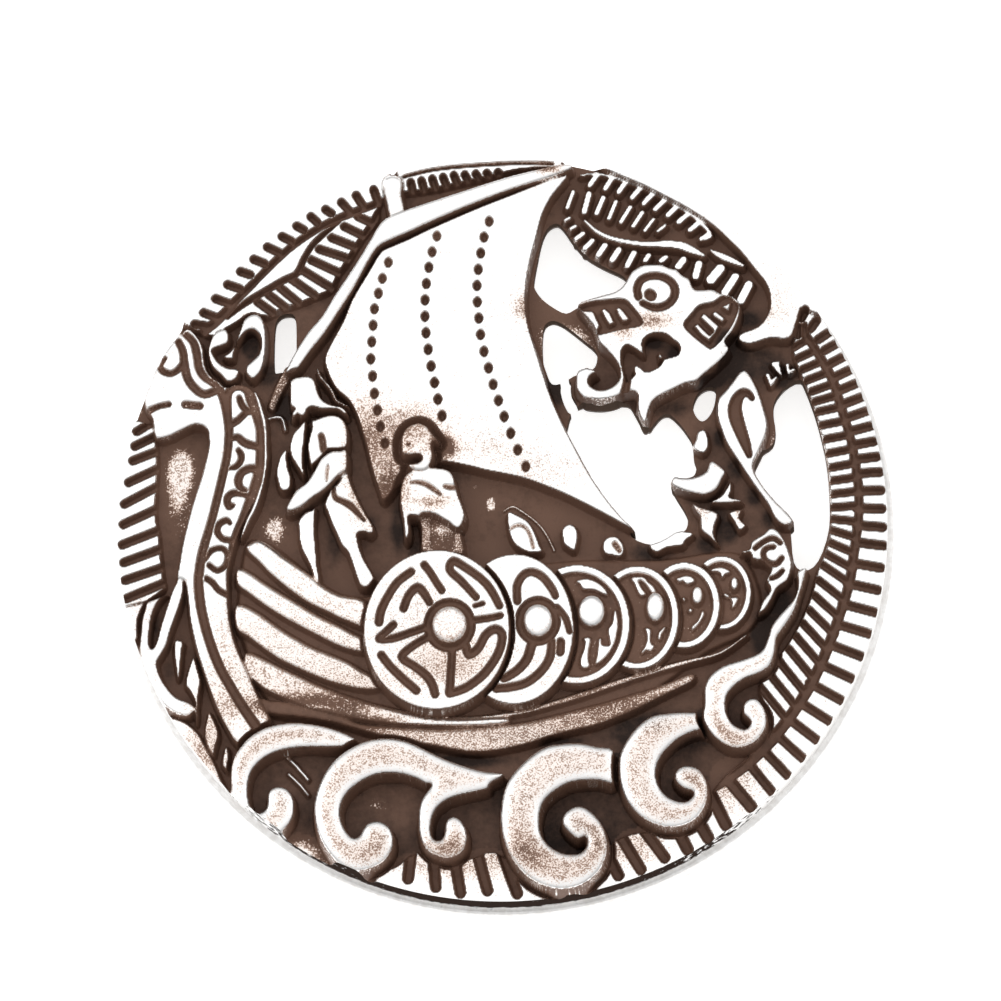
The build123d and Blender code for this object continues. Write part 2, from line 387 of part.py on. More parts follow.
# Far shields are sunk inside their rim band: name: (rim width, pieces left standing, as lines of x, y, width)
SHIELD_BITS = {
    "shield_3": (2.4, [
        [(18.9, -13.2, 1.2), (22.4, -13.3, 1.9), (25, -15.2, 1.7), (26.9, -18.5, 1), (28, -22.5, 1),
         (27.9, -27, 1.3),
         (26.7, -30.8, 1.5), (24.3, -34.8, 1.1)],
        [(20.9, -28.6, 2), (20.6, -32, 2.1), (20.3, -35.7, 2)],
    ]),
    "shield_4": (2.0, [
        [(32.8, -12.8, 1.5), (34.1, -16.3, 1.3)],
        [(35, -13.4, 1.3), (38, -16.5, 1.3)],
        [(36.7, -26.2, 0.9), (37, -29.5, 0.9), (37.2, -31.2, 1.2), (35.2, -31.7, 1.1)],
        [(40, -26.4, 0.8), (39.7, -29.2, 0.8)],
    ]),
    "shield_5": (1.9, [
        [(44.3, -11.5, 1.4), (48, -13.2, 1.4)],
        [(50.7, -21.5, 1.1), (49.7, -24, 1.1), (48, -26.2, 1)],
    ]),
    "shield_6": (1.5, [
        [(53.2, -10.8, 1.1), (56.7, -10.7, 1.2)],
        [(56.4, -18, 1), (58.6, -19.2, 1)],
    ]),
}

# Engraved lines: name of the piece: (depth, lines of x, y, width)
ENGRAVED = {
    "stern_post": (0.45, [
        [(-88, 46.3, 1.2), (-89.2, 44.3, 1.7), (-88.4, 42.8, 1.7), (-86.5, 42.2, 1.6), (-84.8, 43, 1.6),
         (-83.4, 44.5, 1.8)],
        [(-84.6, 50.7, 1.8), (-83.4, 48, 1.9), (-82.9, 44, 2.1), (-82, 40.7, 2.1), (-80, 38, 2.1),
         (-77.6, 36.6, 2),
         (-75, 37.5, 2)],
        [(-83.6, 53.4, 1.6), (-80.8, 50.7, 2), (-79.7, 47, 2.1), (-79.2, 43.7, 2.1), (-77.7, 41.3, 2.1),
         (-75.2, 39.5, 2), (-73.3, 37, 2.2), (-72.2, 33.5, 2.2), (-71.3, 28, 2.1), (-71.3, 24.5, 2),
         (-71.7, 20, 2),
         (-72.7, 15, 2), (-73.8, 10, 2), (-75.7, 2, 2), (-77.6, -5, 2.2), (-78.6, -12, 2.3),
         (-78.2, -18, 2.3),
         (-77, -24, 2.3), (-75.2, -30, 2.3), (-72.8, -36, 2.3), (-70, -41, 2.3), (-67, -46, 2.4),
         (-63.6, -51, 2.6)],
        [(-93, 31.6, 2.2), (-91, 32.8, 1.6), (-89, 33.6, 1.4), (-86.9, 34, 1.5)],
        [(-82.6, 33.9, 1.9), (-78.9, 33.5, 1.9)],
        [(-66.6, 39.3, 1.6), (-64.9, 35, 1.8), (-63.9, 30.5, 1.7), (-63.2, 26, 1.7), (-63, 20, 1.7),
         (-64, 14.5, 1.7),
         (-65.6, 10, 1.7), (-68, 4.5, 1.8), (-70, -0.5, 1.4)],
        [(-69.2, 36, 1.1), (-68.4, 34.5, 1.3), (-66.8, 32.8, 1.2), (-65.3, 32, 1)],
        [(-70, 31.6, 1.4), (-67.9, 31.4, 1.1), (-67.6, 30.4, 1.1), (-69, 29.1, 1.2), (-70.5, 28.6, 1.4)],
        [(-70.5, 26, 1.3), (-68.6, 25, 1.2), (-66.5, 23.6, 1.3), (-64, 22.6, 1.4)],
        [(-70.7, 22, 1.4), (-69, 21, 1.3), (-68.3, 19, 1.1)],
        [(-71.5, 16.5, 1.2), (-69, 17.4, 1.3), (-66, 16.7, 1.3), (-64.6, 14.5, 1.2)],
        [(-68.7, 15.5, 1.1), (-68.9, 13, 1.2), (-67.8, 11.2, 1.3), (-66, 11, 1.2)],
        [(-73.3, 9.6, 1.2), (-71.5, 10, 1.2), (-70.2, 8.6, 1.1), (-70.7, 6.8, 1.1), (-72.4, 6.3, 1.1)],
        [(-76, 0.6, 1.2), (-73.5, -2.3, 1.3), (-70.6, -2.2, 1.4)],
        [(-76.9, -7, 1.4), (-75.4, -4.9, 1.4), (-72.8, -4.3, 1.3), (-71.2, -6, 1.4), (-71.7, -8.8, 1.4),
         (-73.8, -10.2, 1.4), (-75.9, -8.8, 1.4)],
        [(-76.6, -12.3, 1.5), (-75, -13.4, 1.5), (-73.4, -15.4, 1.5), (-70.8, -16.8, 1.5)],
    ]),
    "dragon_head": (0.5, [
        [(34.1, 61.9, 1.9), (33.8, 64.3, 1.9), (35.1, 66.6, 1.9), (38.2, 67.5, 1.8), (41.3, 66.7, 1.9),
         (43.3, 64.6, 2), (43.3, 61.8, 2), (41.5, 59.7, 2), (38.5, 58.9, 1.9), (35.2, 60.2, 1.6)],
        [(31.2, 46, 2.6), (31.6, 43, 2), (31.3, 40, 1.8), (30.8, 36.8, 2.2)],
    ]),
    "neck": (0.55, [
        [(63.3, 34.3, 1.6), (61.6, 36.4, 1.8), (59.4, 34.8, 2), (58.7, 31, 2.2), (59.7, 27.6, 2.4),
         (61.2, 24.6, 2.4),
         (62.8, 21, 2), (63.8, 18, 1.2)],
    ]),
    "end_knot": (0.45, [
        [(64.2, -5, 1.3), (66.5, -3.3, 1.4), (68.8, -2.4, 1.4), (70.6, -3.6, 1.4)],
        [(68.9, -4.7, 1.3), (66.9, -5.2, 1.4), (66.3, -7, 1.4), (67.4, -8.8, 1.5), (69.6, -9.2, 1.5),
         (71, -7.7, 1.4)],
        [(68.2, -13, 1.2), (69.8, -12.4, 1.3), (71.2, -11, 1.2)],
    ]),
    "steersman_cape": (0.35, [[(-47.7, 25.3, 1.8), (-47.3, 23.5, 1.9), (-46.9, 21.5, 1.8)]]),
    "steersman_arm": (0.25, [[(-45.7, 17.8, 0.7), (-45.8, 15.8, 1), (-46.1, 13.4, 0.7)]]),
    "steersman_robe": (0.35, [[(-43.8, 11.2, 1.2), (-43.6, 9, 1.4), (-41.3, 7, 1.6), (-38.8, 5.4, 1.5),
                               (-36.7, 3, 0.8)]]),
    "guard_cloak": (0.3, [
        [(-23.8, 12.8, 0.7), (-21.8, 13.1, 1.1), (-19.5, 12.3, 1.1), (-17, 10.2, 0.8)],
        [(-15.2, 11.5, 1.3), (-13.2, 11.3, 1.3)],
    ]),
    "rower_a": (0.3, [[(1.3, 0.3, 0.7), (3, 1.3, 0.8), (4.8, 1, 0.8), (6.3, -0.8, 0.9), (7.3, -4.5, 0.9)]]),
    "rower_c": (0.3, [[(28.3, -3.8, 1.6), (29.4, -5.4, 1.4)]]),
    "shield_1": (0.42, [
        [(-24, -10.8, 2), (-27.4, -13.5, 2), (-29.9, -17.3, 2), (-31.6, -21, 2.1), (-32.1, -24, 2.1)],
        [(-25.8, -20.4, 2), (-24.5, -17, 2), (-22.3, -14.9, 2.1), (-20.5, -16.7, 2), (-19.2, -18.9, 1.8)],
        [(-20.6, -9, 1.9), (-19.2, -10.8, 1.8), (-17.6, -13.4, 1.8), (-16.1, -15.7, 1.8)],
        [(-7.3, -17.6, 1.8), (-9, -15.6, 1.8), (-11.4, -13, 1.9), (-14.1, -10.3, 1.9), (-13.2, -8, 2),
         (-10.4, -9.5, 2), (-6.3, -12.5, 2), (-3.6, -15.5, 2), (-1.3, -19.8, 1.9)],
        [(-7.6, -19.8, 1.1), (-5.5, -19.2, 1.2)],
        [(-7.5, -23.6, 1.7), (-3.5, -23, 1.7), (-1, -22.4, 1.6)],
        [(-28.4, -24.7, 1.9), (-30.3, -26.6, 1.9), (-32, -28.4, 1.9), (-28.5, -28.3, 1.9),
         (-24, -26.8, 1.9),
         (-19.5, -25.2, 1.9)],
        [(-19.6, -28, 1.9), (-23.5, -30.4, 1.9), (-26.2, -33.2, 2), (-23, -35.6, 2), (-20, -38, 2.1),
         (-18.4, -40.4, 2.1), (-17.6, -43, 2)],
        [(-31.4, -32.7, 2), (-29, -35.8, 2), (-26, -38.8, 2), (-22.4, -42, 2)],
        [(-13.3, -30.5, 1.9), (-13.5, -36, 1.9), (-13.9, -42.3, 2)],
        [(-13.9, -42.8, 2), (-10, -41.5, 2.1), (-6, -38.6, 2.1), (-3, -35, 2.1), (-1, -31, 2.1),
         (-0.6, -27.3, 2.1),
         (-2.5, -26, 2.1), (-4.8, -27.6, 2.1), (-6.6, -31, 2.1), (-9, -32.6, 2.2), (-9.8, -30.3, 2)],
    ]),
    "shield_2": (0.42, [
        [(3.3, -18.6, 2), (3.2, -14.8, 2), (4.7, -11.9, 2), (7, -11, 2), (9.7, -12.3, 2), (12, -15.2, 2),
         (13, -17.3, 1.8)],
        [(13.5, -20.4, 1.6), (15.7, -23.3, 1.7), (16.7, -26.6, 1.6)],
        [(-2, -41.6, 2), (2, -41.2, 2.1), (6, -40, 2.1), (9.6, -37, 2.1), (11.7, -33.5, 2.1),
         (12.2, -29.5, 2.1)],
        [(7, -30.2, 2.3), (5.8, -34, 2.3), (3.2, -37, 2.2), (0, -39, 2)],
        [(14.3, -32, 2.2), (14.4, -29.5, 2.2)],
    ]),
}

# Sunk areas of the dragon's head: name: (depth, outline)
SUNK = {
    "mouth": (0.9, [(29.8, 45.5), (30.3, 48.2), (31.5, 48.8), (33.2, 47.9), (35.6, 46.4), (35.3, 49.3),
                    (36.1, 51),
                    (38.2, 51.9), (41, 51.7), (43, 50.2), (44.5, 48.8), (44.3, 46.6), (42.5, 45.9),
                    (40.7, 45.3),
                    (39.5, 43.5), (37.6, 42.4), (35.9, 42.1), (34.8, 43.1), (33.4, 43.8), (32.8, 42.5),
                    (33, 41), (31, 40)]),
    "nose_plate": (0.45, [(18.4, 59.4), (20.7, 60.5), (25, 60.9), (29.7, 61.2), (31.6, 59.8),
                          (34.7, 55.8), (33.8, 54.5),
                          (28, 53.2), (23.6, 52.1), (22.9, 54.1)]),
    "cheek_plate": (0.45, [(46, 54.6), (49.7, 59.4), (53, 60), (56, 62), (59.2, 61.2), (59.8, 59),
                           (59, 55.2),
                           (57.2, 52), (55, 49.6), (52.7, 48.2), (51, 48.5), (48.4, 51.2)]),
    "pupil": (0.45, [(36, 63.2), (37.2, 63.7), (38.4, 62.8), (38.4, 61.5), (37.2, 60.9), (36, 61.8)]),
}# Bars left standing in the nose and cheek plates: (top, outline)
PLATE_BARS = [
    (4.15, [(18.9, 58.4), (22, 58.3), (23.9, 54.2), (22.7, 53.9), (20.6, 56.6)]),
    (4.15, [(24.5, 58.5), (25.6, 58.7), (27.5, 55.2), (26.4, 54.8)]),
    (4.15, [(28.5, 58.9), (29.6, 59.1), (31.4, 56.4), (30.4, 56)]),
    (4.15, [(48.5, 54.3), (49.2, 54.9), (52.8, 51.8), (54.3, 53.7), (50.4, 56.7), (51, 57.4),
    (55.4, 53.9), (52.7, 50.6)]),
    (4.15, [(53.4, 57.6), (54, 58.1), (56.4, 56.2), (55.9, 55.6)]),
    (4.15, [(56, 59.3), (57.4, 60.3), (57.7, 58.6)]),
]
# The curling waves: name: (top, outline)
WAVES = {
    "wave_1": (4.1,
        [(-36.5, -55.6), (-40, -53.4), (-45, -51.6), (-50, -50.6), (-55, -50.4), (-60, -51.3), (-64, -53.3),
         (-67, -56.2), (-69, -59.3), (-69.8, -62.7), (-69.8, -66.5), (-69.4, -70), (-68, -73.8), (-65, -77),
         (-62, -79), (-59.6, -80.6), (-58.4, -81.8), (-56.4, -79.6), (-54.3, -77.3), (-53.2, -75),
         (-53, -72),
         (-53.7, -69.5), (-55.2, -67.7), (-57.2, -67.1), (-59, -67.5), (-60.2, -68.8), (-60.5, -70.7),
         (-60.6, -72.5),
         (-61.5, -73.7), (-62.9, -73.7), (-64.2, -72.3), (-64.8, -70), (-64.9, -67), (-64, -63.5),
         (-62, -60.9),
         (-59, -59), (-55, -57.8), (-50, -57.3), (-45, -57.5), (-41, -57.3), (-38, -56.4)]),
    "wave_2": (4.3,
        [(-20, -57.5), (-24, -55.6), (-28, -54.6), (-32, -54.6), (-36, -55.5), (-40, -57.6), (-43.3, -60.3),
         (-46, -64), (-47.9, -68.7), (-48.6, -73), (-48, -78), (-46, -83), (-43, -87), (-40, -89),
         (-37, -89.9),
         (-34, -89.4), (-31, -88), (-28.8, -85.8), (-27.6, -83), (-27.9, -79.5), (-29.5, -77.2),
         (-32, -76.2),
         (-34.6, -76.8), (-36, -78.6), (-36.8, -80.1), (-38, -80.5), (-39.3, -79.5), (-40.7, -77),
         (-41.2, -74),
         (-40.5, -71), (-38.8, -68.5), (-36, -66.3), (-33, -64.9), (-30, -64.4), (-26, -64.6),
         (-22.5, -65.7),
         (-20, -67), (-18.7, -67.3), (-20.3, -69.5), (-21.5, -72), (-21.9, -75.5), (-21.8, -79),
         (-21, -82.3),
         (-19.5, -84.5), (-17, -86), (-14, -86.7), (-11.3, -85.8), (-9.4, -84), (-8.7, -81.3),
         (-9.1, -78.5),
         (-10.5, -76.2), (-12.5, -75.1), (-14.4, -76), (-15.1, -78), (-15.3, -80.2), (-16.3, -81.3),
         (-17.5, -80.9),
         (-18.1, -79), (-17.8, -76), (-16.5, -73.2), (-14, -71.2), (-10, -69.9), (-6, -69), (-3.7, -68.3),
         (-2.8, -66.8), (-0.2, -65.4), (0, -64), (-5, -63.3), (-10, -61.9), (-15, -60)]),
    "wave_4": (4.6,
        [(28.3, -58.2), (24, -57), (20, -56.1), (16, -56.1), (11, -56.9), (7, -59.3), (3.5, -62.6),
         (1, -66),
         (-0.4, -70), (-1, -75), (-0.6, -80), (1, -85), (4, -89.5), (8, -92.8), (12, -94.4), (16, -94.8),
         (20, -93.8), (23.2, -91.6), (25.6, -88.8), (26.9, -85), (26.9, -81.5), (25.8, -78), (23.8, -75.2),
         (21.2, -73), (18.6, -72.5), (16, -73.9), (14.8, -76), (15, -78), (16.8, -80.2), (19, -81.7),
         (20.8, -81.2), (21, -83), (19.6, -84.7), (17, -85), (14.3, -84.3), (11.7, -82.5), (10.1, -80),
         (9.6, -77),
         (9.9, -74), (11, -71.3), (13.3, -69.1), (16.3, -67.3), (20, -66.5), (24, -66.4), (28.5, -66.8)]),
    "wave_5": (4.4,
        [(53.5, -49), (50, -48.2), (46, -48), (42, -48.3), (38, -49), (34.5, -51.3), (31.5, -55),
         (29.5, -59),
         (29, -63), (29.5, -67), (31, -71.3), (33.7, -75), (37, -77.3), (41, -78.7), (45, -78.6),
         (48.7, -77),
         (51.3, -74), (52.5, -70), (52, -66), (50, -63), (47, -62), (44.8, -62.7), (43.4, -64.5),
         (43.8, -66.8),
         (46, -68.7), (48.2, -69.5), (47, -71.2), (44.5, -71.3), (41.7, -69.8), (39.8, -67), (39.3, -63.5),
         (40.5, -60), (43, -57), (46, -54.9), (50, -53.4), (54, -54)]),
    "wave_6": (4.2,
        [(77.5, -10.3), (74.8, -11.5), (75, -15), (74, -18.5), (71, -22), (68.3, -25.5), (67, -29.5),
         (65.3, -32.5),
         (60.5, -34.5), (56, -36), (52.5, -38.7), (51, -42), (51, -46), (50.5, -50), (52, -53.2),
         (54.5, -56),
         (58, -58), (62, -57.8), (65.3, -55.5), (67.3, -52), (67, -48), (64.8, -44.8), (62.5, -44.8),
         (61, -46.5),
         (61, -49), (62.8, -51), (61.5, -52.6), (58.8, -51.3), (57.2, -48.5), (57, -45), (58.5, -42.3),
         (61.5, -40),
         (65, -38.6), (68, -36.5), (69.4, -33), (70, -29), (72.3, -25.5), (74.6, -21.5), (75.8, -17.5),
         (77, -13.5)]),
}
# Small ridges left standing on the floor: name: (top, points of x, y, width)
FLOOR_RIDGES = {
    "ridge_a": (2.7, [(-56, -59, 0.8), (-53, -62, 0.9), (-50, -65.5, 0.8)]),
    "ridge_b": (2.7, [(-55, -64, 0.7), (-52, -67, 0.8), (-50, -69.5, 0.7)]),
    "ridge_c": (2.7, [(62, 44, 0.7), (66, 46.2, 0.8), (70.5, 48, 0.8)]),
    "ridge_d": (2.8, [(65.5, 45, 0.9), (68.5, 44.2, 1), (70.2, 42, 0.8)]),
    "ridge_e": (2.7, [(-62, 29.8, 0.5), (-58, 30.4, 0.7), (-56.8, 27, 0.9)]),
    "spar_foot": (2.8, [(-54.9, 41.8, 2.6), (-57.5, 36.8, 2.4), (-60, 32.2, 2)]),
    "hood_line": (2.9, [(-47.8, 41.8, 0.6), (-46.2, 37.2, 0.7), (-43.9, 34.6, 0.7), (-40.4, 32, 0.6)]),
}

# Openings through the plate
OPENINGS = {
    "stern_gap": [(-59.9, 43.3), (-59.9, 54), (-58.9, 57.2), (-56.8, 58.2), (-54.6, 57.2), (-54.2, 50),
                  (-54.4, 44),
                  (-56, 42.4), (-58.2, 42.4)],
    "snout_gap": [(10.5, 80.6), (13, 82), (15, 80.2), (17, 77.2), (20.3, 73.4), (25, 70.4), (30, 67.9),
                  (31, 66),
                  (28.5, 62.8), (23.5, 61.5), (18.5, 59.3), (15.5, 57.8), (12, 59.5), (9, 62), (7.2, 65),
                  (7.3, 68),
                  (8, 72), (9, 77)],
    "lip_gap": [(9.6, 53.6), (11.5, 55.8), (14, 55.3), (17, 53.2), (20, 50.7), (22.7, 48.4), (23.6, 46.5),
                (23, 43.4),
                (20.5, 42), (17.5, 41), (15, 39.4), (12, 38.9), (10.5, 42), (9.5, 46)],
    "chin_slot": [(14.1, 39), (15.5, 40.3), (16.8, 39.2), (16.8, 36.5), (18.5, 33), (16.7, 31),
                  (15.2, 33.2), (14.3, 36.3)],
    "deck_gap": [(16, 28), (17.2, 31.5), (20, 33.4), (26, 33.5), (31.3, 33.6), (33, 31.6), (35, 28),
                 (37, 26.6),
                 (38.3, 28.3), (40.2, 30.4), (42, 30.8), (44, 29.2), (46.2, 26.5), (48.2, 23), (48.5, 19),
                 (49.2, 16.5), (48.5, 14.3), (46, 13.6), (43.3, 13), (42.6, 12), (43.6, 9.5), (46, 5.5),
                 (47, 3),
                 (46.6, 0.2), (44, -1.8), (40, -4), (34, -2.8), (30, 1.2), (25, 8.4), (20, 17.6), (16, 25)],
    "throat_gap": [(48.3, 33), (49.6, 36.3), (52, 37.9), (54.1, 37.2), (53.8, 33), (52.4, 30),
                   (50.6, 28.8), (49, 30.3)],
    "neck_gap": [(69.3, 34), (72, 37.8), (76, 39.6), (78.8, 34.6), (80.7, 27.6), (82.5, 18.5), (83.3, 10),
                 (83.3, 0),
                 (80.5, -8.5), (77, -11), (74.3, -8.8), (73.4, 0), (72.3, 2), (69.8, 5.8), (65.8, 10),
                 (64, 15),
                 (63.9, 17.5), (66, 20.3), (68.8, 22.5), (69.6, 26), (69.1, 30)],
}


def outline(points, top):
    """A closed outline in millimetres, put back to where a face at this height really lies."""
    rise = top - read_height
    moved = [((x + lean_right * rise) * share, (y - lean_up * rise) * share) for x, y in points]
    turn = sum(a[0] * b[1] - b[0] * a[1] for a, b in zip(moved, moved[1:] + moved[:1]))
    return moved if turn > 0 else moved[::-1]


def strip(line):
    """The outline of an engraved line or a thin rib whose width changes along it."""
    left, right = [], []
    for place, (x, y, width) in enumerate(line):
        before_x, before_y, _ = line[max(place - 1, 0)]
        after_x, after_y, _ = line[min(place + 1, len(line) - 1)]
        run = math.hypot(after_x - before_x, after_y - before_y)
        side_x = (before_y - after_y) / run * width / 2
        side_y = (after_x - before_x) / run * width / 2
        left.append((x + side_x, y + side_y))
        right.append((x - side_x, y - side_y))
    return left + right[::-1]


def oval(middle_x, middle_y, half_x, half_y, corners):
    """An oval as a many-sided outline."""
    turns = [2 * math.pi * corner / corners for corner in range(corners)]
    return [(middle_x + half_x * math.cos(turn), middle_y + half_y * math.sin(turn)) for turn in turns]


def ladder(width, rows):
    """The grooves of a ladder; those between two rows of the table lie evenly between them."""
    grooves = []
    for (first, *start), (last, *end) in zip(rows, rows[1:]):
        for number in range(first, last):
            part_way = (number - first) / (last - first)
            grooves.append([a + (b - a) * part_way for a, b in zip(start, end)])
    grooves.append(list(rows[-1][1:]))
    return [strip([(in_x, in_y, width), (out_x, out_y, width)]) for in_x, in_y, out_x, out_y in grooves]


def polar(radius, turn):
    """A place on a circle about the middle, in shares."""
    return (radius * math.cos(math.radians(turn)), radius * math.sin(math.radians(turn)))


def rim_outline(start, end, inner):
    """A rim face drawn a little past the edge, which is then trimmed to the body circle."""
    steps = 12
    outer = [polar(104, start + (end - start) * step / steps) for step in range(steps + 1)]
    return outer + inner


def polygon(points):
    """A flat face from an outline, for adding several to a sketch at once."""
    return Polygon(*points, align=None, mode=Mode.PRIVATE)


def bar_ends(bars):
    """Both ends of each short bar with its width, as a line for strip."""
    return [[(start_x, start_y, width), (end_x, end_y, width)] for start_x, start_y, end_x, end_y, width in bars]


# The disc, its thin lip, the hollow in the back, the openings in the floor, and the flat rim
with BuildPart() as base:
    with BuildSketch():
        Circle(disc_radius)
    extrude(amount=lip_top)
    with BuildSketch():
        Circle(body_radius)
    extrude(amount=floor_top)
    with BuildSketch():
        Circle(hollow_radius)
    extrude(amount=roof, mode=Mode.SUBTRACT)
    with BuildSketch(Plane.XY.offset(roof)):
        add([polygon(outline(gap, read_height)) for gap in OPENINGS.values()])
    extrude(amount=floor_top - roof, mode=Mode.SUBTRACT)
    for height in sorted({row[0] for row in RIM_FACES.values()}):
        with BuildSketch(Plane.XY.offset(root)):
            for top, start, end, inner in RIM_FACES.values():
                if top == height:
                    Polygon(*outline(rim_outline(start, end, inner), top), align=None)
            Circle(body_radius, mode=Mode.INTERSECT)
        extrude(amount=foot + height - root)

    # The long lines, and the short grooves that meet them
    rim_top = RIM_FACES["right_face"][0]
    with BuildSketch(Plane.XY.offset(foot + rim_top - groove_depth)):
        add([polygon(outline(strip(line), rim_top)) for line in RIM_LINES.values()])
        for width, rows in LADDERS.values():
            add([polygon(outline(groove, rim_top)) for groove in ladder(width, rows)])
    extrude(amount=groove_depth, mode=Mode.SUBTRACT)

# The bars and ribs of the dragon's mane, and the small ridges left on the floor
with BuildPart() as mane:
    with BuildSketch(Plane.XY.offset(root)):
        add([polygon(outline(strip(bar), bar_top)) for bar in bar_ends(MANE_BARS)])
    extrude(amount=foot + bar_top - root)
    for table in (MANE_RIBS, FLOOR_RIDGES):
        for top, line in table.values():
            with BuildSketch(Plane.XY.offset(root)):
                Polygon(*outline(strip(line), top), align=None)
            extrude(amount=foot + top - root)

# The hull: its side first, then the planks, the keel and the wale standing on it
with BuildPart() as hull:
    for top, points in HULL.values():
        with BuildSketch(Plane.XY.offset(root)):
            Polygon(*outline(points, top), align=None)
        extrude(amount=foot + top - root)
    for top, line in HULL_LINE.values():
        with BuildSketch(Plane.XY.offset(root)):
            Polygon(*outline(strip(line), top), align=None)
        extrude(amount=foot + top - root)

# The sail with its three rows of lacing holes, the yard and the mast head
with BuildPart() as rig:
    for name, (top, points) in RIG.items():
        with BuildSketch(Plane.XY.offset(root)):
            Polygon(*outline(points, top), align=None)
        extrude(amount=foot + top - root)
        if name == "sail":
            with BuildSketch(Plane.XY.offset(foot + top - dot_depth)):
                for row in SAIL_DOTS:
                    add([polygon(outline(oval(x, y, 1.15, 1.3, 6), top)) for x, y in row])
            extrude(amount=dot_depth, mode=Mode.SUBTRACT)

# The beasts at both ends, each with its engraved lines, and the loose strands of the knot
with BuildPart() as beasts:
    for name, (top, points) in BEASTS.items():
        with BuildSketch(Plane.XY.offset(root)):
            Polygon(*outline(points, top), align=None)
        extrude(amount=foot + top - root)
        if name in ENGRAVED:
            depth, lines = ENGRAVED[name]
            with BuildSketch(Plane.XY.offset(foot + top - depth)):
                add([polygon(outline(strip(line), top)) for line in lines])
            extrude(amount=depth, mode=Mode.SUBTRACT)
        if name == "dragon_head":
            for depth, sunk in SUNK.values():
                with BuildSketch(Plane.XY.offset(foot + top - depth)):
                    Polygon(*outline(sunk, top), align=None)
                extrude(amount=depth, mode=Mode.SUBTRACT)
            for bar_height, bar in PLATE_BARS:
                with BuildSketch(Plane.XY.offset(root)):
                    Polygon(*outline(bar, bar_height), align=None)
                extrude(amount=foot + bar_height - root)
    for top, line in STRANDS.values():
        with BuildSketch(Plane.XY.offset(root)):
            Polygon(*outline(strip(line), top), align=None)
        extrude(amount=foot + top - root)

# The crew, each with the folds of the clothes
with BuildPart() as crew:
    for name, (top, points) in CREW.items():
        with BuildSketch(Plane.XY.offset(root)):
            Polygon(*outline(points, top), align=None)
        extrude(amount=foot + top - root)
        if name in ENGRAVED:
            depth, lines = ENGRAVED[name]
            with BuildSketch(Plane.XY.offset(foot + top - depth)):
                add([polygon(outline(strip(line), top)) for line in lines])
            extrude(amount=depth, mode=Mode.SUBTRACT)

# The shields from the far one to the near one, with ringed bosses
with BuildPart() as shields:
    for name, x, y, half_x, half_y, top, boss_x, boss_y, boss_half_x, boss_half_y in SHIELDS:
        boss = oval(boss_x, boss_y, boss_half_x, boss_half_y, boss_corners)
        with BuildSketch(Plane.XY.offset(root)):
            Polygon(*outline(oval(x, y, half_x, half_y, shield_corners), top), align=None)
        extrude(amount=foot + top - root)
        with BuildSketch(Plane.XY.offset(foot + top - shield_depth)):
            if name in SHIELD_BITS:
                rim_width, bits = SHIELD_BITS[name]
                inside = oval(x, y, half_x - rim_width, half_y - rim_width, shield_corners)
                Polygon(*outline(inside, top), align=None)
                add([polygon(outline(strip(bit), top)) for bit in bits], mode=Mode.SUBTRACT)
            else:
                ring = oval(boss_x, boss_y, boss_half_x + ring_width, boss_half_y + ring_width, boss_corners)
                lines = ENGRAVED[name][1]
                add([polygon(outline(cut, top)) for cut in [ring] + [strip(line) for line in lines]])
        extrude(amount=shield_depth, mode=Mode.SUBTRACT)
        with BuildSketch(Plane.XY.offset(root)):
            Polygon(*outline(boss, top + boss_rise), align=None)
        extrude(amount=foot + top + boss_rise - root)

# The waves, standing over the rim below the ship
with BuildPart() as waves:
    for top, points in WAVES.values():
        with BuildSketch(Plane.XY.offset(root)):
            Polygon(*outline(points, top), align=None)
        extrude(amount=foot + top - root)

# The lug that carries the pin, with its hole, and the hooked catch that holds the point
with BuildPart() as fittings:
    with BuildSketch(Plane.XY.offset(roof + fitting_bury)):
        with Locations((-lug_from_middle, pin_row)):
            Rectangle(lug_length, lug_width)
        with Locations((lug_from_middle, pin_row)):
            Rectangle(catch_length, lug_width)
    extrude(amount=pin_gap - roof - fitting_bury)
    with BuildSketch(Plane.YZ.offset(-lug_from_middle - lug_length)):
        with Locations((pin_row, pin_height)):
            Circle(pin_diameter / 2 + pin_gap)
    extrude(amount=2 * lug_length, mode=Mode.SUBTRACT)
    with BuildSketch(Plane.YZ.offset(lug_from_middle - catch_length)):
        with Locations((pin_row + lug_width / 4, pin_height)):
            Rectangle(lug_width / 2 + catch_slot, catch_slot)
    extrude(amount=2 * catch_length, mode=Mode.SUBTRACT)

# Everything above was cast in one, so it is joined into one solid
with BuildPart() as plate:
    for group in (base, mane, hull, rig, beasts, crew, shields, waves, fittings):
        add(group.part)

# The pin: one wire with a flat head outside the lug and a drawn point in the catch
head_start = -lug_from_middle - lug_length / 2 - pin_gap
point_end = lug_from_middle + catch_length / 2
with BuildPart() as pin:
    with BuildSketch(Plane.XZ.offset(-pin_row)):
        with BuildLine():
            Polyline(
                (head_start - pin_head_length, pin_height),
                (head_start - pin_head_length, pin_height + pin_head_diameter / 2),
                (head_start, pin_height + pin_head_diameter / 2),
                (head_start, pin_height + pin_diameter / 2),
                (point_end - pin_taper, pin_height + pin_diameter / 2),
                (point_end, pin_height + pin_point_diameter / 2),
                (point_end, pin_height),
                close=True,
            )
        make_face()
    revolve(axis=Axis((0, pin_row, pin_height), (1, 0, 0)))

plate.part.label = "plate"
pin.part.label = "pin"
export_step(plate.part, "parts/plate.step")
export_step(pin.part, "parts/pin.step")
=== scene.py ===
import math

import bmesh
import bpy
import numpy as np
from mathutils import Matrix, Vector


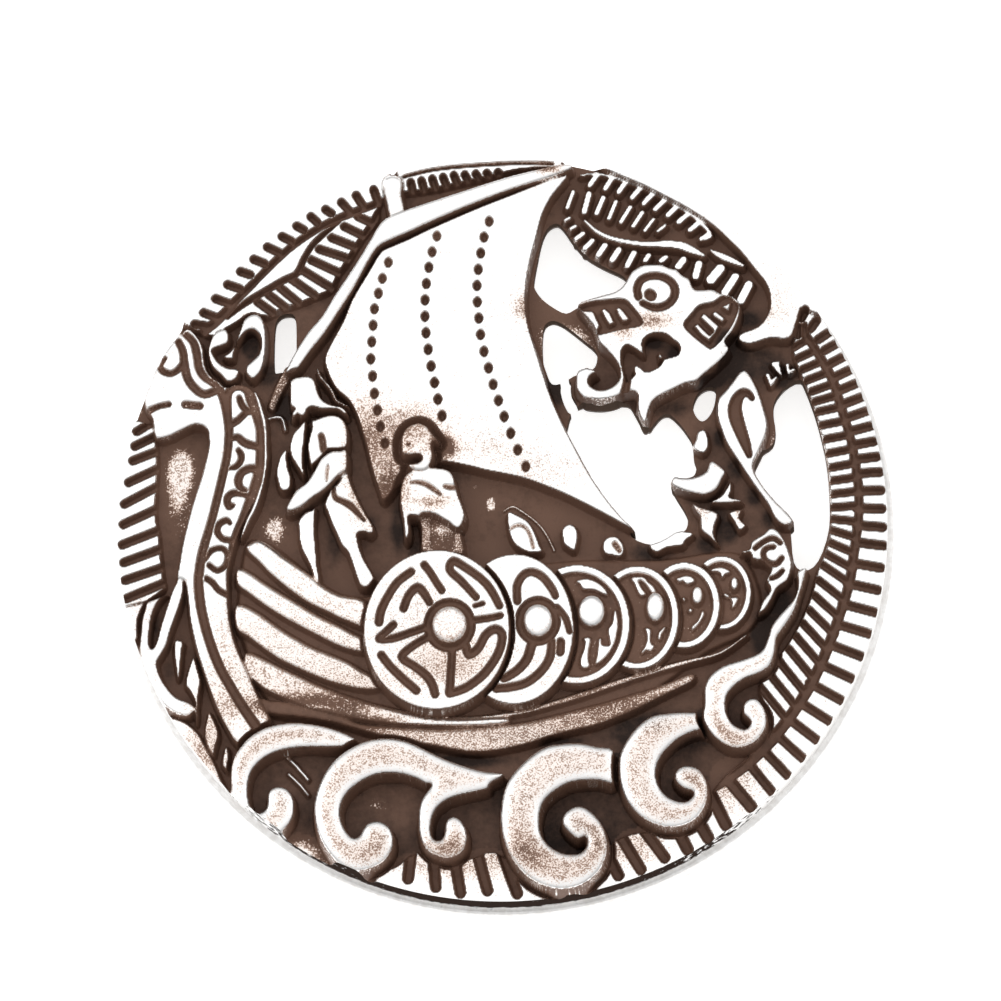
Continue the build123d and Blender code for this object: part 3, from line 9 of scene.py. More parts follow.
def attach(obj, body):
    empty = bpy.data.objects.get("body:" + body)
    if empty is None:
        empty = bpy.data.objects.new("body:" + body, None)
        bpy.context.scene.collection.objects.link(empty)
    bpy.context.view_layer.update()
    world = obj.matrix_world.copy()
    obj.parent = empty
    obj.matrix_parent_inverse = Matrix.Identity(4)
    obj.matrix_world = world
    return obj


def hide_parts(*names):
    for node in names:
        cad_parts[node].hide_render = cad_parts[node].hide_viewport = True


# Looks of the viking ship brooch: the cast face as one fine relief in four pieces, its back, and the studio.

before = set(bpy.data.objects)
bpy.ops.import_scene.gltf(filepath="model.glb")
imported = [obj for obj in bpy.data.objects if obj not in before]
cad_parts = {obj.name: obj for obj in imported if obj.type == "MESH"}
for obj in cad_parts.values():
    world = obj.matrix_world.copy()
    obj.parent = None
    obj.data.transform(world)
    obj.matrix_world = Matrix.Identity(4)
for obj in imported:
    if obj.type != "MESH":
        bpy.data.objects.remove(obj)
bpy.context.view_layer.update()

# Metres in a millimetre
mm = 0.001

# The disc, in millimetres. The relief's own heights start at the foot's height above the table.
disc_radius = 22.5
share = disc_radius / 100
foot = 0.5
lip_top = foot + 1.2
roof = foot + 1.3
body_radius = 98.3 * share
hollow_radius = 92.5 * share
edge_round = 0.18
ring_corners = 240

# Heights and depths of the relief, in millimetres
floor_top = 2.3
groove_bottom = 2.55
bar_top = 3.2
shield_bed = 3.2
dish_floor = 3.1
plank_low_edge = 3.1
plate_bar_top = 4.15
tooth_top = 4.1
dot_depth = 0.34
shield_depth = 0.42
boss_rise = 0.35
polish_over_floor = 0.9
dish_rise = 1.1
bit_drop = 0.05
boss_flank = 0.3

# Roundings of upper edges in millimetres, and how much sharper the crew's are than their table says
bar_rounding = 0.05
bit_rounding = 0.06
rib_rounding = 0.07
fine_rounding = 0.1
wale_rounding = 0.12
shield_rounding = 0.2
strand_rounding = 0.3
boss_rounding = 0.45
crew_sharpness = 0.7

# Widths: of a cell of the grid, of a wall, of the clear band round a piece, and of the way to its full height
cell = 0.07
wall = 0.13
halo = 0.12
shield_halo = 0.17
wave_halo = 0.24
dish_reach = 0.9
plank_lean = 0.35
sail_run = 3.0
wave_run = 0.6
upper_left_reach = 0.33

# What a piece gains at its edge, and a groove loses, so that they look as wide as in the photo
shape_grow = 0.02
strand_grow = 0.03
bit_grow = 0.07
crew_grow = 0.08
glint_grow = 0.09
plank_grow = 0.15
groove_shrink = 0.045

# How much of the grid round a piece is worked on
margin = 0.4
halo_margin = 0.6
gap_margin = 1.0
wide_margin = 1.2
far_off = 9.0

# The polish reaches down as far as a ball of this radius would, tried this far round each place
polish_ball = 2.6
ball_reach = 1.6

# How dull the polish is on some pieces, what stays of the stain in a rubbed place, and how strong the painted
# shade in the darkest corners is
plank_dull = 0.04
wale_dull = 0.13
wave_dull = 0.14
keel_dull = 0.17
tunic_dull = 0.22
spar_foot_dull = 0.25
rubbed_depth = 0.14
corner_shade_weight = 2.0

# The outlines were read off the photo as if they lay at this height, by a camera leaning back a little.
# A higher face was read too far up and too far left, by these shares for each millimetre.
read_height = 2.5
lean_right = 0.2035
lean_up = 1.131

# Places in the tables are hundredths of the disc radius, and heights are millimetres, as in the part.
# So are the width of the ring cut round a shield's boss, and the half width and half height of a lacing hole.
ring_width = 1.7
hole_half_x = 0.85
hole_half_y = 1.15

# Flat faces of the rim: name: (top, rounding, the edge runs from this angle, to this one, inner outline)
RIM_FACES = {
    "left_face": (3.2, 0.12, 163, 191.5, [(-92, -18.5), (-87.6, -15), (-87.8, -12), (-88.3, -8), (-89, -1),
        (-90, 5), (-89.8, 12), (-89.7, 20), (-90.3, 25), (-91.3, 29)]),
    "upper_left_face": (3.2, 0.12, 147, 107.5, [(-29, 91), (-33, 87.5), (-33.5, 83.5), (-37.5, 78),
        (-41, 72), (-43.8, 68), (-45, 64.6), (-50, 62.3), (-54, 60.6), (-58, 59.4), (-62, 57.3), (-66, 58),
        (-70, 55.5), (-76, 52)]),
    "top_face": (3.2, 0.12, 106.5, 81, [(14, 96.8), (5, 96.4), (0, 95.6), (-10, 93.3), (-18, 91.5),
        (-27.3, 90.2)]),
    "crest": (3.7, 0.2, 81, 29.8, [(76, 58.5), (75, 55), (73, 50.5), (68, 50.5), (63, 49), (60, 50),
        (60.3, 52), (65, 54), (67.5, 57.5), (68, 61), (67, 65), (64, 69), (61, 73), (58, 76.2), (53, 81),
        (47, 85.2), (41, 88.6), (35, 91.8), (28, 94.8), (23, 97.4)]),
    "right_face": (3.2, 0.12, 31, -111, [(-31, -89.3), (-27, -88), (-22, -84.5), (-15, -87.5), (-8, -86),
        (-2, -84.5), (6, -90), (14, -93), (24, -90), (28, -82), (36, -79.3), (44, -80), (50, -76),
        (53, -69.5), (57, -64.3), (62, -60), (66.5, -54), (66.5, -47), (65.5, -41), (69, -35),
        (72.5, -30.5), (76.5, -23), (78.7, -17), (80.3, -11), (82.3, -6), (83.5, 0), (83.5, 6), (83.3, 12),
        (82.7, 18), (81.5, 24), (80, 30), (78, 36), (76, 41), (74, 47), (75, 54), (77, 58)]),
    "lower_strip": (3.0, 0.2, 209, 227.5, [(-67.7, -74.4), (-68.7, -72), (-70.6, -68.5), (-72.4, -64.5),
        (-74.2, -60.5), (-76.3, -56.5), (-78.1, -53.3), (-80.7, -50.7), (-83.3, -49.3), (-86.4, -48.3)]),
    "left_strip": (3.0, 0.2, 191.5, 199, [(-94, -28), (-94, -23), (-92.3, -18.6)]),
}

# Ladders of short grooves: name: (width, rows of groove number, inner x and y, outer x and y)
LADDERS = {
    "left": (2.15, [(0, -90.3, 29.8, -95, 26.8), (2, -88.5, 22, -96, 19), (4, -89, 12.4, -98, 7.5),
        (6, -88.5, 0.7, -98.4, -3.3), (8, -86.8, -9, -97.5, -12.7), (9, -86.3, -13, -97, -17.5)]),
    "upper_left": (2.1, [(0, -76.4, 54.6, -80.5, 55.3), (1, -74.7, 57, -78.2, 58.4),
        (3, -69, 64.8, -72.1, 65.9), (4, -66.3, 68.5, -68.8, 69.4), (6, -59, 74.5, -61.9, 75.9),
        (8, -52.6, 80.5, -54.3, 81.5), (9, -49.1, 82.5, -50.7, 84), (10, -45.5, 84.9, -46.9, 85.9),
        (11, -40.8, 85.5, -42.8, 87.8), (12, -37.2, 86.7, -39, 89.6), (13, -33.4, 87.9, -34.5, 91.1)]),
    "inner_left": (2.1, [(0, -60, 58, -64.3, 61.3), (2, -53.8, 61, -58.5, 65), (4, -45.5, 65, -52.5, 69.5),
        (6, -41, 72.7, -48.5, 75.3), (8, -36.5, 78.5, -42, 81.3), (9, -33.5, 81.5, -38.5, 84)]),
    "top": (2.0, [(0, -24.4, 90.8, -24.9, 93), (4, -12.7, 92.4, -13.7, 94.8), (8, -1.5, 94.8, -2.3, 95.5)]),
    "right_outer": (2.2, [(-3, 78.6, 53.2, 80, 55.2), (-2, 80.5, 50.2, 83.1, 52),
        (-1, 82.1, 47.3, 85.2, 49.1), (0, 83.7, 43.8, 87.2, 45.7), (4, 88.4, 29.5, 93.2, 31.2),
        (8, 90.3, 14.5, 96.3, 14.9), (12, 90.3, -3.7, 97.2, -4.6), (16, 85.5, -25.3, 94, -28),
        (20, 75.8, -45.8, 84, -51.2), (24, 62.5, -61.5, 69.2, -70)]),
    "bottom_right": (2.9, [(0, 57.5, -66, 63.2, -73), (1, 53, -70, 56.8, -77.7), (2, 49, -75.5, 52.2, -81),
        (3, 44, -78, 47, -84)]),
    "bottom_middle": (2.7, [(0, 36, -79, 41.2, -86.2), (1, 29.3, -79.5, 35.1, -89.2),
        (2, 25.5, -83.5, 29.4, -90.8)]),
    "bottom_left": (2.7, [(0, 8.6, -90.5, 11.4, -95.1), (1, 0, -85, 3.7, -95.4),
        (2, -7.2, -82.5, -3.9, -94.6), (3, -12.6, -85, -10.8, -95.1), (4, -17.9, -85, -17.1, -93.6),
        (5, -23.2, -82, -24.2, -91.4)]),
    "right_inner": (1.9, [(-1, 74.1, 48.1, 76.7, 49.7), (0, 75.2, 45.2, 79, 47), (3, 78.8, 36.4, 83.2, 38),
        (5, 80.1, 30.9, 85.5, 32.1), (6, 80.4, 27.2, 87, 28.5), (9, 82, 15.8, 90, 17.3),
        (12, 82.6, 5.5, 90.5, 6), (14, 83.2, -0.2, 89.7, -2.3), (17, 81.6, -9.6, 88.2, -14.3),
        (20, 78.2, -21.5, 84.5, -28), (23, 72.8, -31.6, 79.5, -40), (26, 65, -41, 72.5, -50.5)]),
}

# Long lines cut in the rim: name: points of x, y, width
RIM_LINES = {
    "right_line": [(76.9, 54.2, 1.6), (77.2, 51.5, 2.1), (78.7, 49.4, 2.1), (80.3, 46.8, 2.1),
        (82.1, 43.6, 2.2), (83.7, 40.6, 2.2), (85, 37.2, 2.2), (86, 33.5, 2.1), (87.1, 29.8, 2.1),
        (89, 23, 2), (90.6, 13, 2), (90.9, 4, 2), (89.8, -5, 2.1), (88.5, -14, 2.2), (85.5, -24, 2.3),
        (81.4, -35, 2.5), (76.2, -45, 2.6), (69, -55, 2.8), (63, -61, 2.8), (57, -65.6, 2.8),
        (51, -69, 2.8)],
    "top_arc": [(-26.7, 94.6, 0.7), (-19.8, 96.3, 0.7), (-11.3, 97.3, 0.7), (1.6, 98, 0.7),
        (11.9, 97.8, 0.6)],
    "right_blob": [(76.2, 55.7, 1.7), (77.2, 57.7, 1.9)],
    "right_wedge": [(75.6, 54.2, 1.4), (75.3, 51.4, 1.9)],
    "upper_line": [(-78, 53.5, 2.4), (-74.5, 56.5, 2.3), (-70, 61.5, 2.1), (-65, 66.7, 1.8), (-60, 72, 1.8),
        (-55, 76.5, 1.8), (-49, 80.7, 1.8), (-44, 83.3, 1.9), (-38, 85.7, 1.9), (-32, 88, 1.6)],
    "leaf_line": [(-72, 57.3, 1.2), (-68, 60.6, 1.6), (-62, 64.3, 1.7), (-57.5, 67, 1.7),
        (-54.2, 68.7, 1.6), (-52.7, 72, 1.5), (-50.5, 76, 1.4), (-47, 79.7, 1.4), (-43.5, 82.6, 1)],
    "spar_side": [(-46, 62.5, 1.2), (-42.5, 68.5, 1.8), (-38.7, 75.5, 1.8), (-35.3, 81, 1.8), (-33, 85, 2)],
}

# Bars standing in the recess behind the dragon's head: x and y of both ends, width
MANE_BARS = [
    (21.5, 92, 23.3, 94.6, 1.7), (25.5, 91, 27.3, 93.9, 1.7), (29, 90.1, 31, 93, 1.7),
    (32.5, 88.6, 35, 91.6, 1.7), (35.5, 87, 38.4, 90.2, 1.7), (38.5, 85.4, 41.5, 88.4, 1.7),
    (41.7, 83.7, 44.5, 86.6, 1.7), (44.5, 81.9, 47.6, 84.6, 1.7), (47.5, 79.8, 50.2, 82, 1.7),
    (50.3, 77.3, 52.2, 78.6, 1.5), (15.7, 86, 17.2, 90.2, 1.5), (20.1, 84.9, 21.3, 89.6, 1.9),
    (23.3, 84.4, 25, 88.5, 1.7), (26.5, 83, 28.3, 87.5, 1.5), (29.6, 82, 32, 86, 1.5),
    (32.8, 80.9, 35.1, 84.5, 1.5), (35.8, 79.7, 38, 82.7, 1.3), (39.2, 79.5, 41, 81, 1.2),
    (15.2, 82.6, 16.3, 83.2, 1.2), (16.6, 80.3, 17.8, 81, 1.3), (18, 77.6, 19.8, 79, 1.6),
    (20.3, 75, 22.2, 77.1, 1.7), (23.8, 73.2, 25.5, 75.8, 1.9), (27.4, 71.9, 29.1, 74.6, 2),
    (31.3, 70.3, 33, 73.7, 1.9), (35.9, 71.6, 36.8, 73, 1.7), (40, 71.5, 41.2, 72.5, 1.7),
    (44.4, 69.9, 45.8, 71.8, 2.2), (48.9, 67.3, 49.8, 70.7, 2.3), (52.8, 66.3, 55.3, 69.4, 2.8),
    (56.4, 62.8, 59.2, 67.2, 2.4), (60.6, 60.8, 62.7, 65, 2.6),
]

# Thin ribs of the mane: name: (top, points of x, y, width)
MANE_RIBS = {
    "mane_border": (3.2, [(19, 94.6, 0.6), (23.5, 95, 0.9), (28, 93.9, 1), (33, 92.2, 1.1), (38, 89.9, 1.1),
        (43, 87, 1.1), (47.5, 84.2, 1.2), (51, 81, 1.4), (53, 78.2, 1), (51.3, 77, 0.7)]),
    "crest_rib": (3.4, [(20.2, 82.5, 0.9), (23, 79.8, 1.3), (26.5, 77.9, 1.5), (31, 76.7, 1.6),
        (36, 76, 1.8), (41, 76, 2.2), (45, 75.6, 2.5), (48, 74.3, 2.3), (51, 72.9, 1.1)]),
    "crest_tail": (3.4, [(52.8, 74.3, 0.8), (55, 73, 1.9), (58, 71.6, 2), (61, 70.2, 1.2)]),
}

# The dragon, the stern beast and the knots at the left: name: (top, rounding, outline)
BEASTS = {
    "stern_post": (3.75, 0.3, [(-91.2, 30.3), (-92.8, 33), (-93.2, 36), (-91.8, 40), (-90.3, 44),
        (-88.5, 47.5), (-86.3, 50.7), (-83.5, 53.7), (-81.5, 54), (-79.3, 51.5), (-78.2, 49), (-77.8, 45),
        (-76.5, 42), (-74.3, 40.3), (-72.3, 38.6), (-70, 39.6), (-67, 39.2), (-65, 37.5), (-63.3, 34),
        (-62.3, 29.5), (-61.5, 25), (-61.3, 20), (-62.3, 15), (-64, 10), (-66.3, 5), (-68.5, 0), (-70, -5),
        (-71, -10), (-71, -15), (-70.8, -19), (-70.3, -24), (-69, -29), (-67, -34), (-65, -38.5),
        (-63, -43), (-61.3, -46.5), (-59.8, -49.3), (-61.6, -52.1), (-63.7, -54.5), (-65.5, -55),
        (-67.3, -56.3), (-68.8, -55.3), (-70.1, -53.4), (-73.3, -47.5), (-75.3, -42.5), (-77, -37.5),
        (-78.7, -32.5), (-80, -27.5), (-81, -22.5), (-81.5, -17.5), (-82.3, -13), (-84.3, -12), (-83.9, -9),
        (-83.2, -4), (-82, 1.7), (-80.7, 7), (-79.3, 11.7), (-78.3, 15), (-77.3, 19.3), (-76.7, 22.3),
        (-76.7, 25), (-77.3, 27.5), (-80, 28.4), (-83.3, 27), (-86.7, 25.3), (-89.7, 24.8), (-90.7, 26.7)]),
    "stern_lobe": (3.6, 0.25, [(-77, 49), (-76, 52), (-74.5, 53.6), (-72.3, 54), (-71.4, 52), (-71.8, 50.3),
        (-73.5, 49.4), (-75.7, 48.5), (-75.3, 47), (-73.8, 45), (-71.8, 43.8), (-69.8, 43.6), (-68.7, 42.8),
        (-69.2, 41), (-70.7, 39.9), (-72.2, 40), (-73.7, 41.8), (-75.6, 43.5), (-76.8, 46)]),
    "lobe_leaf": (3.5, 0.2, [(-73, 46.7), (-71.5, 47.8), (-69.8, 49.7), (-70.2, 47), (-70.4, 46),
        (-71.8, 45.9)]),
    "stern_ear": (3.75, 0.3, [(-69.7, 50.5), (-68.7, 54), (-67.5, 57), (-65, 58.2), (-63, 57), (-62, 54),
        (-61.8, 49), (-62.4, 44.5), (-63.5, 42), (-65.4, 40.5), (-67.2, 42.3), (-67, 44.3), (-65.4, 45.8),
        (-63.9, 47.5), (-63.4, 50), (-63.8, 52.3), (-65.3, 53.7), (-67, 53.3), (-68.3, 52)]),
    "dragon_head": (4.2, 0.28, [(18.3, 59.8), (23.5, 62.2), (28, 63.5), (30.3, 65.5), (32, 68.5), (34, 70),
        (36, 70.7), (40, 70.7), (42, 69.8), (44, 69.3), (45.5, 67.8), (47.3, 66.7), (48.2, 64.6),
        (49.5, 63.8), (53, 64), (55.5, 62.8), (58, 62.3), (60.2, 60), (60.2, 56.5), (58.6, 52.8),
        (56.6, 50), (57.6, 48), (56.5, 46), (54, 43.5), (51, 41), (49, 39.2), (46, 38.5), (43, 37),
        (40, 35.5), (38, 34), (37, 31.5), (36.3, 28.8), (35.3, 28.5), (34.3, 30.5), (33.7, 33),
        (33.8, 35.5), (33, 36.5), (30.6, 36.6), (29, 35.5), (27, 34.8), (24, 34.4), (20.5, 34.8),
        (19.2, 35.8), (18.1, 37.5), (17.9, 40), (18.4, 42.2), (20.5, 43.2), (22.5, 42.8), (23.4, 41.8),
        (22, 41), (21.4, 39.6), (22, 38.3), (24.3, 37.3), (27, 38), (28.9, 39.7), (29.3, 42.2),
        (28.2, 44.8), (26, 47.5), (23.8, 50), (22.3, 54.3)]),
    "neck": (3.7, 0.3, [(60.3, 42), (58.5, 39.7), (56.5, 37), (54.5, 34.5), (54.3, 30), (55.3, 26.5),
        (56.7, 22.8), (59, 19), (61.5, 15), (64.5, 10.5), (67.3, 6.5), (69, 3), (71, 1), (73, 1), (74, 2.5),
        (71.5, 5.5), (69.3, 7.8), (66, 12), (63.8, 16.5), (65.3, 20.5), (67, 24.5), (67.5, 28), (66.6, 32),
        (65, 37), (62.3, 42)]),
    "chest_chip": (3.3, 0.2, [(49.5, 26), (51.5, 26.4), (52.5, 22.5), (51, 20), (48.3, 21.5), (49, 24)]),
    "chest_hook": (3.8, 0.3, [(42.6, 13), (43.5, 14.2), (46, 13.8), (49, 14.2), (51.6, 15.6), (52.5, 18),
        (54, 18), (56.7, 15.5), (56, 13.5), (54.7, 11), (53, 9.6), (51, 9), (48, 9.5), (45, 10.5),
        (43, 11.6)]),
    "chest_leg": (3.5, 0.25, [(48, 7), (50.5, 6), (54.8, 4.3), (54, 1), (53.8, -1.5), (54.8, -4),
        (52.3, -2), (50.2, 0), (50, 3), (48.7, 5)]),
    "chest_fin": (3.5, 0.2, [(58, 13), (58.2, 10), (57.8, 8.6), (60.5, 7.9), (60.3, 7), (53, 7), (55.5, 9),
        (57, 11.3)]),
    "chest_tag": (3.3, 0.2, [(57.5, 4.5), (61, 5.3), (60.3, 3), (62, 1), (60.3, -0.5), (58.7, 2)]),
    "end_knot": (3.9, 0.25, [(60.6, -6.3), (60.8, -5.7), (62.6, -5.2), (63, -3.5), (64.5, -2.2), (66.5, -1),
        (68, 0.4), (70, -0.3), (71.8, -3), (73.3, -7), (73.7, -10), (72.7, -13.5), (70, -15.6),
        (68.6, -18.5), (66.8, -21.3), (65, -22.2), (66, -19), (68, -16), (67, -13.5), (68.2, -10.5),
        (66.5, -8.6), (63.6, -8), (62.8, -6.3)]),
    "knot_loop": (3.6, 0.25, [(-91.7, -18.3), (-92.4, -20.1), (-93.1, -23.3), (-93.4, -27.5),
        (-93.6, -30.7), (-93.1, -33.9), (-92.1, -36.6), (-90.8, -39.2), (-88.7, -43.5), (-86.4, -46.4),
        (-83.3, -48.3), (-80.7, -48.6), (-79.2, -47.5), (-78.8, -50.4), (-78.4, -47.8), (-78.9, -46.2),
        (-80.7, -44.8), (-83.8, -43.5), (-85.9, -41.4), (-87.7, -38.7), (-88.7, -36.1), (-88.9, -34.2),
        (-88.2, -32.9), (-86.5, -29.7), (-85.5, -26), (-84.4, -22.8), (-82.9, -18.1), (-82.3, -14.3),
        (-83.2, -10.6), (-84, -11.7), (-84.5, -13.3), (-85.5, -15.4), (-86.5, -18.6), (-87.5, -21.7),
        (-88.5, -25.2), (-89.3, -28.6), (-90.2, -30.5), (-90.9, -29.9), (-91, -27.6), (-90.6, -23.3),
        (-89.7, -20.1), (-88.3, -17.5), (-86.7, -16), (-89.1, -17.2)]),
    "wedge_b": (3.4, 0.2, [(-84.7, -28.7), (-83.4, -28.4), (-82.3, -29.2), (-82.6, -31.3), (-82.8, -34),
        (-83.1, -37.1), (-83.6, -38.7), (-84.1, -37.1), (-84.6, -34), (-84.9, -31.3)]),
    "wedge_c": (3.4, 0.2, [(-80.3, -34), (-79.5, -32.9), (-78.5, -36.1), (-77.7, -39.3), (-78.2, -43.5),
        (-78.4, -46.7), (-78.9, -48.8), (-79.2, -45.1), (-80.7, -41.9), (-81.8, -40.3), (-81.3, -37.2)]),
    "wedge_d": (3.4, 0.2, [(-75.6, -47.3), (-74.5, -48.9), (-73.2, -52), (-73, -54.2), (-73.7, -56.8),
        (-74.2, -58.9), (-75.5, -57.3), (-76.6, -54.2), (-76.6, -51.5), (-76.1, -48.9)]),
    "wedge_e": (3.3, 0.2, [(-71.4, -56.8), (-70.4, -57.4), (-70.2, -62.7), (-71.6, -62.1), (-72.1, -60.5)]),
    "corner_glint_a": (3.2, 0.08, [(68.5, 44), (70.4, 44.5), (70.5, 43.4), (71, 41), (70.1, 41.7),
        (69.1, 43)]),
    "corner_glint_b": (3.2, 0.08, [(72.2, 43.7), (73, 43.7), (73.1, 42.2), (74.2, 42.5), (74.3, 42),
        (72.8, 41.3), (72.5, 42)]),
    "corner_glint_c": (3.2, 0.08, [(67, 41.1), (68, 41), (68.3, 39.4), (69.6, 40.4), (69.8, 40.1),
        (68.3, 38.1), (67.7, 39.4)]),
}

# Thin raised lines: name: (top, points of x, y, width)
STRANDS = {
    "post_edge": (3.7, [(-64.7, 37.2, 0.5), (-63.7, 34.9, 1), (-62.9, 32.2, 1.1), (-62.1, 29.5, 0.9),
        (-61.8, 26.9, 0.8), (-61.5, 21.6, 0.8), (-61.5, 18.9, 0.8), (-62.3, 13.6, 0.9), (-63, 11, 1.2),
        (-63.8, 8.3, 1.4), (-64.8, 5.7, 1.4), (-66.1, 3.1, 1.2), (-67.1, 0.4, 1), (-67.8, -1.4, 0.5)]),
    "ear_line": (3.3, [(-69.6, 56.4, 0.6), (-67, 58.6, 0.8), (-65, 60, 0.8)]),
    "crew_pit": (2.6, [(-0.3, 5.2, 0.5), (2, 6.4, 0.5), (4.6, 4.9, 0.5), (8.3, 2, 0.5), (10.7, -1.2, 0.5),
        (12.7, -5.3, 0.5)]),
}

# Sail, spar and mast head: name: (top, rounding, fullness of the middle, outline)
RIG = {
    "sail": (3.7, 0.2, 0.25, [(15.5, 95), (11.8, 89), (9.4, 84), (7.9, 78), (6.4, 72), (5.4, 66), (5.2, 60),
        (6, 54), (8, 47.5), (10, 41), (12, 35), (15, 28), (18, 22), (22, 14.5), (26, 8.5), (30, 3.5),
        (33.2, 0), (30, 1.5), (25, 4.3), (20, 7), (15, 9.5), (10, 11.6), (5, 13.5), (0, 14.7), (-5, 15.7),
        (-10, 17), (-18, 18), (-26, 14), (-31, 8), (-33, 12), (-34.6, 17), (-35.8, 22), (-37.2, 27),
        (-38.6, 31), (-40.5, 34.6), (-44, 38), (-46, 42), (-46.9, 46), (-45.2, 50.3), (-42.3, 55.8),
        (-40, 61.8), (-36, 68.8), (-32.8, 74.3), (-30, 76), (-25, 78.2), (-20, 80.7), (-10, 85.2),
        (0, 89.3)]),
    "spar": (4.0, 0.3, 0.0, [(-56.8, 42.2), (-56.4, 44), (-54.4, 48.1), (-51.1, 53.4), (-47.7, 57.5),
        (-44.5, 63), (-40, 70), (-36, 76.7), (-33, 82), (-30, 84.4), (-25, 86.3), (-20, 88), (-10, 91.3),
        (0, 94.5), (8, 96.5), (15.5, 98), (17, 96.5), (14, 95), (8, 93), (0, 90.3), (-10, 86.4), (-20, 82),
        (-25, 79.6), (-30, 77.4), (-33.3, 75.4), (-36.5, 70), (-40, 63.3), (-43.6, 57.5), (-46.7, 52.6),
        (-50.3, 47.9), (-54, 42.7)]),
    "mast_top": (3.9, 0.4, 0.0, [(-32.2, 93.7), (-29.7, 95.3), (-27.2, 94), (-27, 89.5), (-26.3, 85),
        (-30, 83.2), (-31.2, 87)]),
}

# Rows of lacing holes in the sail: x, y
SAIL_DOTS = [
    [(-30.5, 71.5), (-32, 67.2), (-33, 63.2), (-34, 59), (-34.3, 54.6), (-34.6, 50.2), (-34.8, 45.6),
     (-34.3, 41), (-33.8, 36.4), (-33, 32), (-32.2, 27.6), (-31, 23.2)],
    [(-18, 78.5), (-19.2, 74.2), (-20, 70), (-20.6, 65.6), (-20.9, 61.2), (-20.9, 56.8), (-20.6, 52.4),
     (-20, 48), (-19.2, 43.5), (-18.3, 39.1), (-17.4, 34.7), (-16.3, 30.3)],
    [(-4.5, 82.3), (-5.8, 78), (-6.6, 73.7), (-7.2, 69.3), (-7.5, 65), (-7.4, 60.6), (-7, 56.3),
     (-6.5, 51.9), (-5.6, 47.4), (-4.4, 43), (-3.2, 38.6), (-1.8, 34.3), (-0.3, 30), (1.4, 25.6),
     (3.2, 21.2), (5.3, 16.8)],
]

# The hull's side, its planks and the keel: name: (top, rounding, outline)
HULL = {
    "hull_side": (2.75, 0.3, [(-66, -2.5), (-60, -3.5), (-54, -8), (-48, -13), (-38, -17.5), (-20, -14),
        (0, -10), (20, -8), (40, -8), (55, -6), (62, -8), (66, -20), (62, -27.5), (52, -32.5), (38, -43),
        (26, -50), (14, -53), (2, -56.3), (-8, -57.3), (-18, -55.3), (-30, -52.5), (-48, -49), (-60, -45.5),
        (-65, -35), (-68.5, -24), (-68, -12)]),
    "strake_1": (3.55, 0.3, [(-66, -3.7), (-63.5, -2.3), (-60, -4.3), (-57, -6.7), (-54, -8.8),
        (-50, -11.7), (-46, -15), (-42, -17), (-36, -18.5), (-35, -24.8), (-41, -23), (-45, -21),
        (-50, -18.5), (-55, -15), (-60, -10.7), (-63, -7.5), (-65.5, -5.2)]),
    "strake_2": (3.5, 0.3, [(-68.4, -13.6), (-68.3, -9.9), (-65.5, -11), (-62.9, -12.9), (-59, -15.5),
        (-55.1, -17.9), (-48, -22.3), (-43, -24.8), (-38.3, -27.4), (-34, -29.3), (-35.5, -31.4),
        (-39, -31), (-43.5, -29.3), (-50, -25.9), (-55.1, -23.1), (-59, -20.7), (-62.3, -18.4),
        (-65.4, -16)]),
    "strake_3": (3.5, 0.3, [(-68.5, -25.2), (-68.5, -19.4), (-64.1, -21.1), (-60.3, -23.8), (-56.4, -26.6),
        (-50, -30.4), (-45, -32.5), (-40, -34.7), (-36.3, -37), (-31.5, -39.4), (-32.5, -41.2),
        (-37, -41.2), (-44.7, -39.2), (-52.5, -35.8), (-57.6, -33.2), (-62.3, -29.9), (-65.4, -27.5)]),
    "strake_4": (3.45, 0.25, [(-65.9, -36.9), (-66, -32.2), (-61.5, -33.9), (-57.6, -36), (-52.5, -38.4),
        (-48, -40.6), (-42, -43), (-36, -45), (-30, -46.6), (-25, -47.8), (-18, -49.1), (-10, -49.6),
        (0, -49.3), (0, -50.4), (-10, -51), (-20, -50.8), (-30, -50.2), (-38, -49), (-44.7, -47.5),
        (-49.8, -46.2), (-55, -44.1), (-60.2, -41.7), (-63.3, -39.5)]),
    "keel": (3.3, 0.3, [(-62.2, -44.4), (-60.1, -45), (-56.3, -45.3), (-52.4, -46.1), (-47.3, -47.2),
        (-42.1, -48.9), (-37, -51.2), (-30.1, -51.9), (-23.1, -52.3), (-16.4, -52.6), (-8.7, -52.4),
        (-2.2, -51.9), (5.5, -50.9), (12.2, -49.4), (19.6, -47.5), (26.5, -45.7), (32.4, -43.9),
        (37.1, -42.6), (42.7, -40.5), (47.8, -38.4), (47.9, -39.8), (42.7, -42.4), (37.1, -45.3),
        (33.5, -47.1), (28.6, -49.2), (23, -51.3), (17.1, -52.6), (12.2, -53.9), (6.8, -55.7), (1.4, -57),
        (-3.5, -57.8), (-7.9, -58), (-12.5, -57.4), (-16.4, -56.6), (-19.5, -56.1), (-26.5, -54.7),
        (-33, -53.1), (-42.1, -50.4), (-47.3, -49.3), (-52.4, -48.5), (-57.6, -47.9), (-60.6, -47.1)]),
}

# The wale under the shields: name: (top, points of x, y, width)
HULL_LINE = {
    "wale": (3.3, [(-16.4, -49.7, 1), (-8.7, -49.5, 1), (-2.2, -49, 1.2), (5.5, -47.7, 1.3),
        (12.1, -45.9, 1.5), (19.6, -43.6, 1.7), (26.5, -41.2, 1.7), (33.4, -38.9, 1.5), (40.1, -36.8, 1.5),
        (47.8, -34.7, 1.3), (55.5, -32.6, 1), (62, -28, 0.7)]),
}

